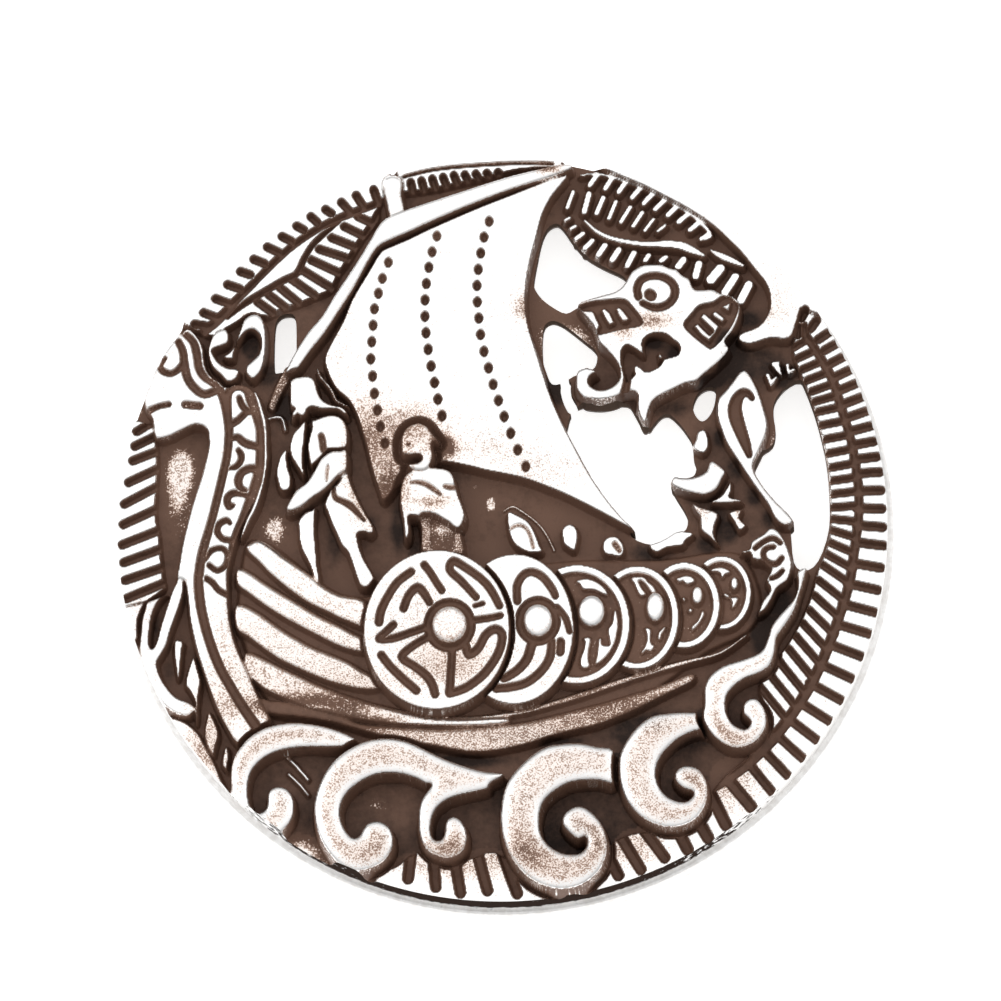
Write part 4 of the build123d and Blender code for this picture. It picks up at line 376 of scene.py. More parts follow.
# The crew, each figure in pieces laid over one another: name: (top, rounding, outline)
CREW = {
    "steersman_leg": (3.5, 0.3, [(-51.2, 5.1), (-49.6, 5.6), (-48.9, 6.1), (-49.1, 3), (-49.1, 0.3),
        (-48.8, -2.9), (-48.5, -6.3), (-48.3, -9), (-47.7, -12.2), (-48, -13.2), (-49, -11.6),
        (-49.8, -9.2), (-50.8, -7.1), (-51.9, -5), (-52.7, -2.3), (-52.9, 0.3), (-52.9, 3)]),
    "steersman_robe": (3.8, 0.35, [(-42.2, 14.3), (-40.9, 15.9), (-40.2, 14), (-39.4, 11.7), (-38.3, 9.3),
        (-37, 6.6), (-35.7, 4.2), (-34.4, 2.1), (-33.8, 0.2), (-34.7, -0.6), (-36.2, 0), (-38, -0.6),
        (-37.7, -3.2), (-37.2, -5.1), (-36.2, -7.5), (-34.9, -9.8), (-33.6, -12.2), (-33.8, -13),
        (-35.1, -14.6), (-36.9, -14.3), (-37.9, -12), (-38.7, -9.6), (-39.5, -7.2), (-40.3, -5.3),
        (-41.9, -3.4), (-43.2, -0.5), (-44.5, 2.4), (-45.5, 5.1), (-46.3, 7.2), (-45.5, 9.6), (-44.5, 11.4),
        (-43.2, 12.5)]),
    "steersman_fold": (3.7, 0.3, [(-56.4, 21.6), (-57.7, 20.2), (-58.4, 18.1), (-58.8, 15.7), (-58.4, 13.4),
        (-57.6, 11.2), (-55.8, 11.2), (-55.3, 12.5), (-55.3, 14.4), (-56.1, 17.1), (-56.4, 19.4)]),
    "steersman_side": (3.9, 0.3, [(-51.6, 29.2), (-51.7, 26.8), (-51.8, 24.2), (-52.2, 21.5), (-52.3, 18.4),
        (-51.9, 15.2), (-53, 16.8), (-54.1, 18.6), (-54.8, 19.7), (-55.4, 22.1), (-55.1, 24.2),
        (-54.4, 26.1), (-53.1, 27.6)]),
    "steersman_cape": (4.1, 0.35, [(-49.8, 29.2), (-48.7, 29.7), (-47.2, 30.3), (-45.1, 30.8),
        (-43.1, 30.5), (-41.8, 29.4), (-41, 27.6), (-40.7, 25.2), (-41, 22.5), (-42.5, 22.1), (-44.3, 22),
        (-46.1, 21.8), (-47.1, 20.4), (-48.4, 18.9), (-49.4, 18.1), (-49.9, 17.8), (-50.5, 20.2),
        (-50.7, 22.9), (-50.2, 25.5), (-49.7, 27.6)]),
    "steersman_arm": (4.25, 0.4, [(-41, 21.5), (-42.5, 21.3), (-44.6, 21.2), (-46.1, 20.4), (-47.4, 19.1),
        (-48.4, 17.3), (-49.7, 14.9), (-51.2, 12.8), (-53.3, 11.2), (-54.5, 9.6), (-55.5, 7.8),
        (-56.1, 6.2), (-55.3, 5.6), (-53.5, 6.2), (-51.4, 7.5), (-49.6, 9.1), (-47.6, 10.4), (-45.5, 12.2),
        (-43.8, 14.1), (-42.2, 15.6), (-40.9, 16.4), (-40.6, 18.8)]),
    "steersman_head": (4.2, 0.35, [(-55.5, 39.1), (-55.2, 40.1), (-53.7, 40.9), (-50.8, 41.1),
        (-49.6, 40.3), (-49, 38.8), (-48.5, 36.9), (-47.7, 35.3), (-46.4, 34.2), (-44.6, 33.4), (-42.6, 33),
        (-41.3, 32.1), (-41, 31.3), (-41.5, 31.3), (-43.1, 32.5), (-45.1, 32.6), (-47.2, 32.6), (-49, 33.1),
        (-50.5, 33.1), (-51.3, 32.4), (-51.6, 31.3), (-52.6, 30.8), (-53.6, 31.4), (-54.6, 30.6),
        (-54.9, 31.4), (-54.1, 32.7), (-55.2, 33.5), (-55.4, 35.3)]),
    "guard_tunic": (3.5, 0.25, [(-21.8, 4.7), (-21.6, 1.5), (-21.3, -1.2), (-20.8, -5.8), (-15.4, -5.8),
        (-10.8, -6.2), (-11.3, -1.2), (-12, 0.9), (-12.8, 4.6)]),
    "guard_cloak": (4.4, 0.4, [(-26.8, 10.8), (-26.5, 12.6), (-25.5, 14.8), (-23.7, 16.1), (-21.6, 16.9),
        (-19.3, 16.8), (-16.8, 16.6), (-14.7, 16), (-13.4, 14.4), (-12.9, 12.3), (-12.1, 9.4), (-11, 6.5),
        (-10.4, 4.3), (-10.8, 2.5), (-11.5, 1.2), (-12.6, 0.9), (-14.1, 2.2), (-15.9, 3.3), (-17.7, 4.4),
        (-19.8, 4.9), (-21.6, 4.7), (-22.1, 4.1), (-24.7, 4.1), (-24.9, 2.8), (-24.6, 0.2), (-25.1, -1.7),
        (-25.7, -0.9), (-25.9, 2.3), (-26.5, 5.5), (-26.9, 8.1)]),
    "guard_head": (4.6, 0.4, [(-26.6, 22.4), (-26.6, 24.6), (-25.8, 26.7), (-24.3, 28), (-22.2, 28.5),
        (-20.4, 27.7), (-19.1, 25.9), (-17.6, 23.9), (-19, 23.6), (-19.1, 22.1), (-18.8, 20), (-19.3, 17.9),
        (-20.4, 16.6), (-22.2, 16.3), (-24, 16.7), (-24.7, 17), (-24.7, 17.7), (-22.9, 17.9), (-21.9, 18.4),
        (-21.3, 19.2), (-21.7, 20.2), (-22.7, 20.4), (-24.8, 20.2), (-26.3, 20.6)]),
    "rower_a": (3.4, 0.3, [(0.8, 4.8), (3, 4), (5.8, 2.3), (7.6, -0.7), (8.8, -4), (9.4, -5.6), (6, -5.8),
        (3, -4), (1.5, -1.5), (0.9, 1.2)]),
    "rower_b": (3.3, 0.35, [(14.8, 0), (16.3, 1.5), (17.9, 0.9), (18.7, -1.2), (18.4, -3.7), (17.8, -5.3),
        (16.4, -4.6), (15.2, -3.4)]),
    "rower_c": (3.3, 0.3, [(25.2, -4.5), (25.8, -2.6), (27.4, -1.8), (28.8, -2), (30, -3.5), (30.5, -5.3),
        (29.7, -7), (27.7, -6.7), (26, -6.3)]),
    "rower_arm": (3.4, 0.2, [(37.2, -4.3), (39, -5.9), (41.5, -4.7), (45.6, -4.1), (46.2, -2.8), (48, -1.6),
        (47.5, -0.8), (44.3, -0.7), (42, -2.1), (39.5, -3.4)]),
}

# Thin raised lines of the crew: name: (top, points of x, y, width)
CREW_LINES = {
    "hood_line": (3.9, [(-48.5, 43.3, 0.6), (-48, 41.4, 0.8), (-46.5, 39.5, 0.8), (-45.2, 37.9, 0.8),
        (-44.4, 36.3, 0.8), (-43.6, 34.7, 0.8), (-42.3, 33.9, 0.8), (-40.5, 33.1, 0.5)]),
}

# The shields, from the far one to the near one:
# name, middle x and y, half width, half height, top, boss middle x and y, boss half width and half height
SHIELDS = [
    ("shield_6", 55.5, -16.8, 7.9, 9.9, 3.75, 58.9, -14.6, 1.0, 1.7),
    ("shield_5", 46.0, -20.0, 9.3, 11.5, 3.85, 49.4, -17.6, 1.5, 2.4),
    ("shield_4", 34.0, -23.2, 10.8, 13.8, 4.0, 38.6, -20.5, 2.5, 4.0),
    ("shield_3", 18.6, -24.9, 13.7, 15.9, 4.2, 22.3, -21.5, 3.6, 4.3),
    ("shield_2", 2.6, -26.0, 15.3, 20.0, 4.45, 8.6, -23.9, 3.9, 4.5),
    ("shield_1", -17.3, -26.0, 18.9, 21.2, 4.75, -14.0, -24.9, 4.7, 5.1),
]

# Far shields are sunk inside their rim band: name: (rim width, outlines of the pieces left standing)
SHIELD_BITS = {
    "shield_3": (2.3, [
        [(18.5, -13.5), (20.7, -13), (22.6, -13.4), (24.3, -14.4), (25.6, -15.7), (26.2, -16.9),
         (24.9, -16.5), (23.3, -15.7), (21.4, -15.5), (20.1, -15.3), (19.4, -14)],
        [(28.4, -21.3), (28.9, -24.7), (28.6, -27.3), (27.9, -30), (26.6, -32.3), (25, -34.1),
         (23.5, -35.1), (23.9, -33.3), (24.2, -30.6), (24.5, -28.6), (24.8, -30.3), (26.3, -30.6),
         (27.2, -30.3), (27.1, -28.6), (26.7, -27), (26.9, -25.8), (27.7, -24.8), (28, -23)],
        [(20.5, -28.6), (21.9, -28.6), (21.4, -31.6), (21.3, -33.9), (21.6, -35.9), (19.9, -36),
         (19.7, -33.9), (20.5, -31.6), (20.8, -29.5)],
    ]),
    "shield_4": (2.1, [
        [(32.6, -12.8), (34.2, -12.6), (34.4, -13.3), (33.9, -13.3), (34.4, -14.4), (35, -15.6),
         (36, -16.9), (34.9, -17.2), (33.9, -15.4), (33.4, -14.1)],
        [(34.4, -12.6), (35.8, -12.8), (36.5, -13.8), (37.8, -14.8), (38.7, -16.3), (39.4, -17.1),
         (40, -18), (38.5, -18.2), (38.7, -17.4), (38.2, -16.8), (37.4, -15.8), (36.5, -14.4),
         (35.5, -13.4)],
        [(36.2, -26), (37.3, -26.4), (37.2, -28.4), (37.4, -30), (38.2, -30.7), (37.5, -31.7),
         (36.2, -31.5), (35.3, -32.3), (36.2, -30.7), (36.7, -28.7), (36.5, -27)],
        [(40.1, -26.7), (41, -25.7), (40.6, -26.7), (40.1, -27.4), (39.8, -28.7), (39.5, -28.5),
         (39.7, -27.1)],
    ]),
    "shield_5": (2.1, [
        [(44.2, -13), (45.1, -12.7), (46.4, -12.3), (48, -12.7), (48.5, -13.7), (47.1, -14.2), (46.3, -14),
         (45.9, -13.3), (44.8, -13.6)],
        [(50.7, -21.6), (51, -22.3), (50.3, -23.8), (49.4, -25.1), (48.1, -26.3), (48.3, -25.4),
         (49.4, -24.5), (50.2, -23.1)],
        [(45.7, -18.1), (46, -18.1), (46.2, -18.4), (46, -18.7)],
        [(47.2, -21.3), (47.6, -20.9), (48, -21.3), (47.6, -21.7)],
    ]),
    "shield_6": (1.8, [
        [(52.8, -11), (53.8, -10.4), (55.7, -10.2), (57.3, -10.9), (57.5, -11.4), (56.4, -11.7),
         (55.9, -12.6), (55.6, -12.2), (55.4, -11.4), (54.1, -10.9)],
        [(58.2, -18.2), (59.6, -18.1), (59.2, -19.4), (58.4, -20.5), (58.5, -19.2)],
        [(56.5, -17), (57.4, -17.5), (57.1, -17.8), (56.3, -17.3)],
    ]),
}

# Engraved lines: owner: (depth, lines of x, y, width)
ENGRAVED = {
    "stern_post": (0.45, [
        [(-88, 46.3, 1.2), (-89.2, 44.3, 1.7), (-88.4, 42.8, 1.7), (-86.5, 42.2, 1.6), (-84.8, 43, 1.6),
         (-83.4, 44.5, 1.8)],
        [(-84.6, 50.7, 1.8), (-83.4, 48, 1.9), (-82.9, 44, 2.1), (-82, 40.7, 2.1), (-80, 38, 2.1),
         (-77.6, 36.6, 2), (-75, 37.5, 2)],
        [(-83.6, 53.4, 1.6), (-80.8, 50.7, 2), (-79.7, 47, 2.1), (-79.2, 43.7, 2.1), (-77.7, 41.3, 2.1),
         (-75.2, 39.5, 2), (-73.3, 37, 2.2), (-72.2, 33.5, 2.2), (-71.3, 28, 2.1), (-71.3, 24.5, 2),
         (-71.7, 20, 2), (-72.7, 15, 2), (-73.8, 10, 2), (-75.7, 2, 2), (-77.6, -5, 2.2), (-78.6, -12, 2.3),
         (-78.2, -18, 2.3), (-77, -24, 2.3), (-75.2, -30, 2.3), (-72.8, -36, 2.3), (-70, -41, 2.3),
         (-67, -46, 2.4), (-63.6, -51, 2.6)],
        [(-93, 31.6, 2.2), (-91, 32.8, 1.6), (-89, 33.6, 1.4), (-86.9, 34, 1.5)],
        [(-82.6, 33.9, 1.9), (-78.9, 33.5, 1.9)],
        [(-66.3, 39.1, 2.4), (-65.5, 34.9, 2.8), (-64.2, 31.1, 2.3), (-63.2, 26.9, 2.1), (-63.1, 22.9, 2.2),
         (-63.1, 18.9, 2.3), (-63.6, 15, 2.5), (-64.6, 11, 2.7), (-65.8, 7, 2.8), (-67.1, 3.1, 2.8),
         (-68.6, -0.4, 2.6), (-69.6, -3.6, 2.3), (-70.4, -6.7, 2)],
        [(-71.4, 29.5, 1.6), (-71.6, 32, 1.8), (-71.9, 34.8, 2.2), (-71.6, 37, 2.2), (-70, 38.6, 2.2),
         (-68, 38.7, 2.2), (-66.2, 37.3, 2.2)],
        [(-68.7, 35.6, 1.4), (-68.2, 34.2, 1.7), (-67.4, 33, 1.8), (-66, 32, 1.8)],
        [(-66.6, 32, 1.6), (-67.6, 31, 1.7), (-69, 29.6, 1.8), (-71, 28.4, 1.8)],
        [(-70.6, 24.8, 1.3), (-69, 25.1, 1.8), (-67.7, 24, 2), (-66.2, 23.2, 2), (-64.1, 22.7, 1.8)],
        [(-68.7, 21.6, 1.4), (-68, 20.3, 1.6), (-68.2, 18.7, 1.6), (-69.2, 17.4, 1.5), (-70.8, 16.9, 1)],
        [(-63.6, 16.3, 2), (-65.6, 16.8, 2), (-67.7, 15.8, 2), (-68.7, 13.7, 2), (-68.2, 11.8, 1.7),
         (-66.6, 11, 1)],
        [(-66.4, 9.7, 1.5), (-68.2, 10.2, 1.5), (-70.2, 10.2, 1.8), (-71.5, 8.7, 1.8), (-71, 6.8, 1.8),
         (-69.9, 7.1, 1)],
        [(-70.7, 2.3, 1), (-71.7, 3.1, 1.5), (-73.5, 2, 1.7), (-74, 0.2, 1.7), (-72.7, -1.7, 1.5),
         (-70.7, -2.2, 1.5), (-68.6, -2.2, 1.5)],
        [(-76.9, -7, 1.4), (-75.4, -4.9, 1.4), (-72.8, -4.3, 1.3), (-71.2, -6, 1.4), (-71.7, -8.8, 1.4),
         (-73.8, -10.2, 1.4), (-75.9, -8.8, 1.4)],
        [(-76.6, -12.3, 1.5), (-75, -13.4, 1.5), (-73.4, -15.4, 1.5), (-70.8, -16.8, 1.5)],
    ]),
    "dragon_head": (0.5, [
        [(34.1, 61.9, 1.9), (33.8, 64.3, 1.9), (35.1, 66.6, 1.9), (38.2, 67.5, 1.8), (41.3, 66.7, 1.9),
         (43.3, 64.6, 2), (43.3, 61.8, 2), (41.5, 59.7, 2), (38.5, 58.9, 1.9), (35.2, 60.2, 1.6)],
        [(31.2, 46, 2.6), (31.6, 43, 2), (31.3, 40, 1.8), (30.8, 36.8, 2.2)],
    ]),
    "neck": (0.55, [[(63.4, 34.7, 1.3), (62.4, 36, 1.8), (60.8, 36, 2.3), (59.5, 34.2, 2.9),
        (59, 31.5, 3.4), (59.6, 28.6, 3.4), (60.6, 25.7, 3), (61.7, 22.7, 2.5), (62.7, 19.6, 1.5)]]),
    "end_knot": (0.45, [
        [(64.2, -5, 1.3), (66.5, -3.3, 1.4), (68.8, -2.4, 1.4), (70.6, -3.6, 1.4)],
        [(68.9, -4.7, 1.3), (66.9, -5.2, 1.4), (66.3, -7, 1.4), (67.4, -8.8, 1.5), (69.6, -9.2, 1.5),
         (71, -7.7, 1.4)],
        [(68.2, -13, 1.2), (69.8, -12.4, 1.3), (71.2, -11, 1.2)],
    ]),
    "steersman_cape": (0.35, [[(-47.4, 25.3, 1.7), (-47.1, 23.9, 1.8), (-46.8, 21.8, 1.8)]]),
    "steersman_arm": (0.25, [[(-45.6, 17.5, 0.7), (-45.8, 15.7, 1), (-45.9, 13.5, 0.7)]]),
    "steersman_robe": (0.35, [[(-44.3, 11.4, 1), (-43.7, 9, 1.4), (-41.9, 8, 1.5), (-39.9, 6.9, 1.7),
        (-38.3, 5.3, 1.4), (-36.2, 2.9, 0.8)]]),
    "guard_cloak": (0.3, [
        [(-24.2, 12.8, 0.6), (-22.4, 12.9, 1), (-20.3, 12.3, 1.3), (-18.3, 11, 1.3), (-16.7, 9.7, 0.9)],
        [(-15.4, 11.8, 1.2), (-14.2, 11.5, 1.4), (-12.9, 11.5, 1.3)],
    ]),
    "guard_head": (0.3, [[(-25, 23, 0.9), (-24.8, 23.1, 0.9)]]),
    "guard_tunic": (0.12, [[(-16.3, 3.4, 6), (-16, -1, 6.6), (-15.9, -3.6, 6.6)]]),
    "rower_a": (0.3, [[(1.3, 0.3, 0.7), (3, 1.3, 0.8), (4.8, 1, 0.8), (6.3, -0.8, 0.9), (7.3, -4.5, 0.9)]]),
    "rower_c": (0.3, [[(28.3, -3.8, 1.6), (29.4, -5.4, 1.4)]]),
    "shield_1": (0.42, [
        [(-24, -10.8, 2), (-27.4, -13.5, 2), (-29.9, -17.3, 2), (-31.6, -21, 2.1), (-32.1, -24, 2.1)],
        [(-25.8, -20.4, 2), (-24.5, -17, 2), (-22.3, -14.9, 2.1), (-20.5, -16.7, 2), (-19.2, -18.9, 1.8)],
        [(-20.6, -9, 1.9), (-19.2, -10.8, 1.8), (-17.6, -13.4, 1.8), (-16.1, -15.7, 1.8)],
        [(-7.3, -17.6, 1.8), (-9, -15.6, 1.8), (-11.4, -13, 1.9), (-14.1, -10.3, 1.9), (-13.2, -8, 2),
         (-10.4, -9.5, 2), (-6.3, -12.5, 2), (-3.6, -15.5, 2), (-1.3, -19.8, 1.9)],
        [(-7.6, -19.8, 1.1), (-5.5, -19.2, 1.2)],
        [(-7.5, -23.6, 1.7), (-3.5, -23, 1.7), (-1, -22.4, 1.6)],
        [(-28.4, -24.7, 1.9), (-30.3, -26.6, 1.9), (-32, -28.4, 1.9), (-28.5, -28.3, 1.9),
         (-24, -26.8, 1.9), (-19.5, -25.2, 1.9)],
        [(-19.6, -28, 1.9), (-23.5, -30.4, 1.9), (-26.2, -33.2, 2), (-23, -35.6, 2), (-20, -38, 2.1),
         (-18.4, -40.4, 2.1), (-17.6, -43, 2)],
        [(-31.4, -32.7, 2), (-29, -35.8, 2), (-26, -38.8, 2), (-22.4, -42, 2)],
        [(-13.3, -30.5, 1.9), (-13.5, -36, 1.9), (-13.9, -42.3, 2)],
        [(-13.9, -42.8, 2), (-10, -41.5, 2.1), (-6, -38.6, 2.1), (-3, -35, 2.1), (-1, -31, 2.1),
         (-0.6, -27.3, 2.1), (-2.5, -26, 2.1), (-4.8, -27.6, 2.1), (-6.6, -31, 2.1), (-9, -32.6, 2.2),
         (-9.8, -30.3, 2)],
    ]),
    "shield_2": (0.42, [
        [(3.3, -18.6, 2), (3.2, -14.8, 2), (4.7, -11.9, 2), (7, -11, 2), (9.7, -12.3, 2), (12, -15.2, 2),
         (13, -17.3, 1.8)],
        [(13.5, -20.4, 1.6), (15.7, -23.3, 1.7), (16.7, -26.6, 1.6)],
        [(-2, -41.6, 2), (2, -41.2, 2.1), (6, -40, 2.1), (9.6, -37, 2.1), (11.7, -33.5, 2.1),
         (12.2, -29.5, 2.1)],
        [(7, -30.2, 2.3), (5.8, -34, 2.3), (3.2, -37, 2.2), (0, -39, 2)],
        [(14.3, -32, 2.2), (14.4, -29.5, 2.2)],
    ]),
}

# Sunk areas of the dragon's head: name: (depth, outline)
SUNK = {
    "mouth": (1.3, [(29.8, 45.5), (30.3, 48.2), (31.5, 48.8), (33.2, 47.9), (35.6, 46.4), (35.3, 49.3),
        (36.1, 51), (38.2, 51.9), (41, 51.7), (43, 50.2), (44.5, 48.8), (44.3, 46.6), (42.5, 45.9),
        (40.7, 45.3), (39.5, 43.5), (37.6, 42.4), (35.9, 42.1), (34.8, 43.1), (33.4, 43.8), (32.8, 42.5),
        (33, 41), (31, 40)]),
    "nose_plate": (0.62, [(18.8, 59.3), (21.6, 60.4), (25.7, 60.9), (30.3, 61.1), (32.4, 59.2), (34.7, 56),
        (34.5, 54.4), (29.3, 53.4), (24.2, 52.1), (23.4, 52.7), (24.2, 54.2), (23.4, 56.1), (22.4, 58.2),
        (20, 58.4)]),
    "cheek_plate": (0.62, [(46, 54.4), (47.8, 57), (49.6, 59.1), (51.2, 59.7), (53.5, 60.2), (55.3, 61.5),
        (57.1, 62.3), (59.1, 60.7), (59.9, 59.3), (59.4, 57.5), (57.9, 54), (55.1, 50.1), (53, 48.2),
        (52, 48.5), (49.9, 50.1), (47.6, 52.2)]),
    "pupil": (0.45, [(36, 63.2), (37.2, 63.7), (38.4, 62.8), (38.4, 61.5), (37.2, 60.9), (36, 61.8)]),
}

# Bars standing in the head's sunk plates, and the tooth in its mouth
PLATE_BARS = [
    [(24.5, 58.4), (25.4, 58.9), (26.7, 57.8), (28, 54.9), (26.6, 54.3), (25.3, 56.6)],
    [(28.3, 58.7), (29, 59.2), (29.8, 58.7), (31.8, 56.1), (31.2, 55.3), (30, 55.3), (28.9, 57.1)],
    [(48.4, 54), (49.4, 54.7), (50.8, 53.1), (52.5, 51.5), (53.6, 52.5), (53.2, 53.2), (50.1, 56.2),
     (50.8, 57.5), (51.5, 57.1), (55, 53.8), (52.4, 50), (50.3, 51.6)],
    [(53, 57.5), (54, 58), (56.5, 55.9), (55.8, 54.9), (53.4, 56.6)],
    [(55.6, 59.1), (57.9, 60.3), (57.4, 57.8)],
]
TOOTH = [(39.2, 47.4), (39.3, 45.2), (40.9, 45.3)]

# The waves: name: (top, rounding, fullness of the middle, outline)
WAVES = {
    "wave_1": (4.1, 0.5, 0.25, [(-36.5, -55.6), (-40, -53.4), (-45, -51.6), (-50, -50.6), (-55, -50.4),
        (-60, -51.3), (-64, -53.3), (-67, -56.2), (-69, -59.3), (-69.8, -62.7), (-69.8, -66.5),
        (-69.4, -70), (-68, -73.8), (-65, -77), (-62, -79), (-59.6, -80.6), (-58.4, -81.8), (-56.4, -79.6),
        (-54.3, -77.3), (-53.2, -75), (-53, -72), (-53.7, -69.5), (-55.2, -67.7), (-57.2, -67.1),
        (-59, -67.5), (-60.2, -68.8), (-60.5, -70.7), (-60.6, -72.5), (-61.5, -73.7), (-62.9, -73.7),
        (-64.2, -72.3), (-64.8, -70), (-64.9, -67), (-64, -63.5), (-62, -60.9), (-59, -59), (-55, -57.8),
        (-50, -57.3), (-45, -57.5), (-41, -57.3), (-38, -56.4)]),
    "wave_2": (4.3, 0.55, 0.3, [(-20, -57.5), (-24, -55.6), (-28, -54.6), (-32, -54.6), (-36, -55.5),
        (-40, -57.6), (-43.3, -60.3), (-46, -64), (-47.9, -68.7), (-48.6, -73), (-48, -78), (-46, -83),
        (-43, -87), (-40, -89), (-37, -89.9), (-34, -89.4), (-31, -88), (-28.8, -85.8), (-27.6, -83),
        (-27.9, -79.5), (-29.5, -77.2), (-32, -76.2), (-34.6, -76.8), (-36, -78.6), (-36.8, -80.1),
        (-38, -80.5), (-39.3, -79.5), (-40.7, -77), (-41.2, -74), (-40.5, -71), (-38.8, -68.5),
        (-36, -66.3), (-33, -64.9), (-30, -64.4), (-26, -64.6), (-22.5, -65.7), (-20, -67), (-18.7, -67.3),
        (-20.3, -69.5), (-21.5, -72), (-21.9, -75.5), (-21.8, -79), (-21, -82.3), (-19.5, -84.5),
        (-17, -86), (-14, -86.7), (-11.3, -85.8), (-9.4, -84), (-8.7, -81.3), (-9.1, -78.5), (-10.5, -76.2),
        (-12.5, -75.1), (-14.4, -76), (-15.1, -78), (-15.3, -80.2), (-16.3, -81.3), (-17.5, -80.9),
        (-18.1, -79), (-17.8, -76), (-16.5, -73.2), (-14, -71.2), (-10, -69.9), (-6, -69), (-3.7, -68.3),
        (-2.8, -66.8), (-0.2, -65.4), (0, -64), (-5, -63.3), (-10, -61.9), (-15, -60)]),
    "wave_4": (4.6, 0.6, 0.3, [(28.3, -58.2), (24, -57), (20, -56.1), (16, -56.1), (11, -56.9), (7, -59.3),
        (3.5, -62.6), (1, -66), (-0.4, -70), (-1, -75), (-0.6, -80), (1, -85), (4, -89.5), (8, -92.8),
        (12, -94.4), (16, -94.8), (20, -93.8), (23.2, -91.6), (25.6, -88.8), (26.9, -85), (26.9, -81.5),
        (25.8, -78), (23.8, -75.2), (21.2, -73), (18.6, -72.5), (16, -73.9), (14.8, -76), (15, -78),
        (16.8, -80.2), (19, -81.7), (20.8, -81.2), (21, -83), (19.6, -84.7), (17, -85), (14.3, -84.3),
        (11.7, -82.5), (10.1, -80), (9.6, -77), (9.9, -74), (11, -71.3), (13.3, -69.1), (16.3, -67.3),
        (20, -66.5), (24, -66.4), (28.5, -66.8)]),
    "wave_5": (4.4, 0.55, 0.3, [(53.5, -49), (50, -48.2), (46, -48), (42, -48.3), (38, -49), (34.5, -51.3),
        (31.5, -55), (29.5, -59), (29, -63), (29.5, -67), (31, -71.3), (33.7, -75), (37, -77.3),
        (41, -78.7), (45, -78.6), (48.7, -77), (51.3, -74), (52.5, -70), (52, -66), (50, -63), (47, -62),
        (44.8, -62.7), (43.4, -64.5), (43.8, -66.8), (46, -68.7), (48.2, -69.5), (47, -71.2), (44.5, -71.3),
        (41.7, -69.8), (39.8, -67), (39.3, -63.5), (40.5, -60), (43, -57), (46, -54.9), (50, -53.4),
        (54, -54)]),
    "wave_6": (4.2, 0.5, 0.2, [(77.5, -10.3), (74.8, -11.5), (75, -15), (74, -18.5), (71, -22),
        (68.3, -25.5), (67, -29.5), (65.3, -32.5), (60.5, -34.5), (56, -36), (52.5, -38.7), (51, -42),
        (51, -46), (50.5, -50), (52, -53.2), (54.5, -56), (58, -58), (62, -57.8), (65.3, -55.5),
        (67.3, -52), (67, -48), (64.8, -44.8), (62.5, -44.8), (61, -46.5), (61, -49), (62.8, -51),
        (61.5, -52.6), (58.8, -51.3), (57.2, -48.5), (57, -45), (58.5, -42.3), (61.5, -40), (65, -38.6),
        (68, -36.5), (69.4, -33), (70, -29), (72.3, -25.5), (74.6, -21.5), (75.8, -17.5), (77, -13.5)]),
}

# Small ridges left standing on the floor: name: (top, points of x, y, width)
FLOOR_RIDGES = {
    "ridge_a": (2.7, [(-56, -59, 0.8), (-53, -62, 0.9), (-50, -65.5, 0.8)]),
    "ridge_b": (2.7, [(-55, -64, 0.7), (-52, -67, 0.8), (-50, -69.5, 0.7)]),
    "ridge_e": (2.7, [(-62, 29.8, 0.5), (-58, 30.4, 0.7), (-56.8, 27, 0.9)]),
    "spar_foot": (2.75, [(-56, 42.6, 2.6), (-58.4, 38, 2.4), (-60.3, 33.2, 2)]),
}

# Openings through the plate: name: outline
OPENINGS = {
    "stern_gap": [(-59.9, 43.3), (-59.9, 54), (-58.9, 57.2), (-56.8, 58.2), (-54.6, 57.2), (-54.2, 50),
        (-54.4, 44), (-56, 42.4), (-58.2, 42.4)],
    "snout_gap": [(10.5, 80.6), (13, 82), (15, 80.2), (17, 77.2), (20.3, 73.4), (25, 70.4), (30, 67.9),
        (31, 66), (28.5, 62.8), (23.5, 61.5), (18.5, 59.3), (15.5, 57.8), (12, 59.5), (9, 62), (7.2, 65),
        (7.3, 68), (8, 72), (9, 77)],
    "lip_gap": [(9.6, 53.6), (11.5, 55.8), (14, 55.3), (17, 53.2), (20, 50.7), (22.7, 48.4), (23.6, 46.5),
        (23, 43.4), (20.5, 42), (17.5, 41), (15, 39.4), (12, 38.9), (10.5, 42), (9.5, 46)],
    "chin_slot": [(14.1, 39), (15.5, 40.3), (16.8, 39.2), (16.8, 36.5), (18.5, 33), (16.7, 31),
        (15.2, 33.2), (14.3, 36.3)],
    "deck_gap": [(16, 28), (17.2, 31.5), (20, 33.4), (26, 33.5), (31.3, 33.6), (33, 31.6), (35, 28),
        (37, 26.6), (38.3, 28.3), (40.2, 30.4), (42, 30.8), (44, 29.2), (46.2, 26.5), (48.2, 23),
        (48.5, 19), (49.2, 16.5), (48.5, 14.3), (46, 13.6), (43.3, 13), (42.6, 12), (43.6, 9.5), (46, 5.5),
        (47, 3), (46.6, 0.2), (44, -1.8), (40, -4), (34, -2.8), (30, 1.2), (25, 8.4), (20, 17.6), (16, 25)],
    "throat_gap": [(48.3, 33), (49.6, 36.3), (52, 37.9), (54.1, 37.2), (53.8, 33), (52.4, 30), (50.6, 28.8),
        (49, 30.3)],
    "neck_gap": [(69.3, 34), (72, 37.8), (76, 39.6), (78.8, 34.6), (80.7, 27.6), (82.5, 18.5), (83.3, 10),
        (83.3, 0), (80.5, -8.5), (77, -11), (74.3, -8.8), (73.4, 0), (72.3, 2), (69.8, 5.8), (65.8, 10),
        (64, 15), (63.9, 17.5), (66, 20.3), (68.8, 22.5), (69.6, 26), (69.1, 30)],
}
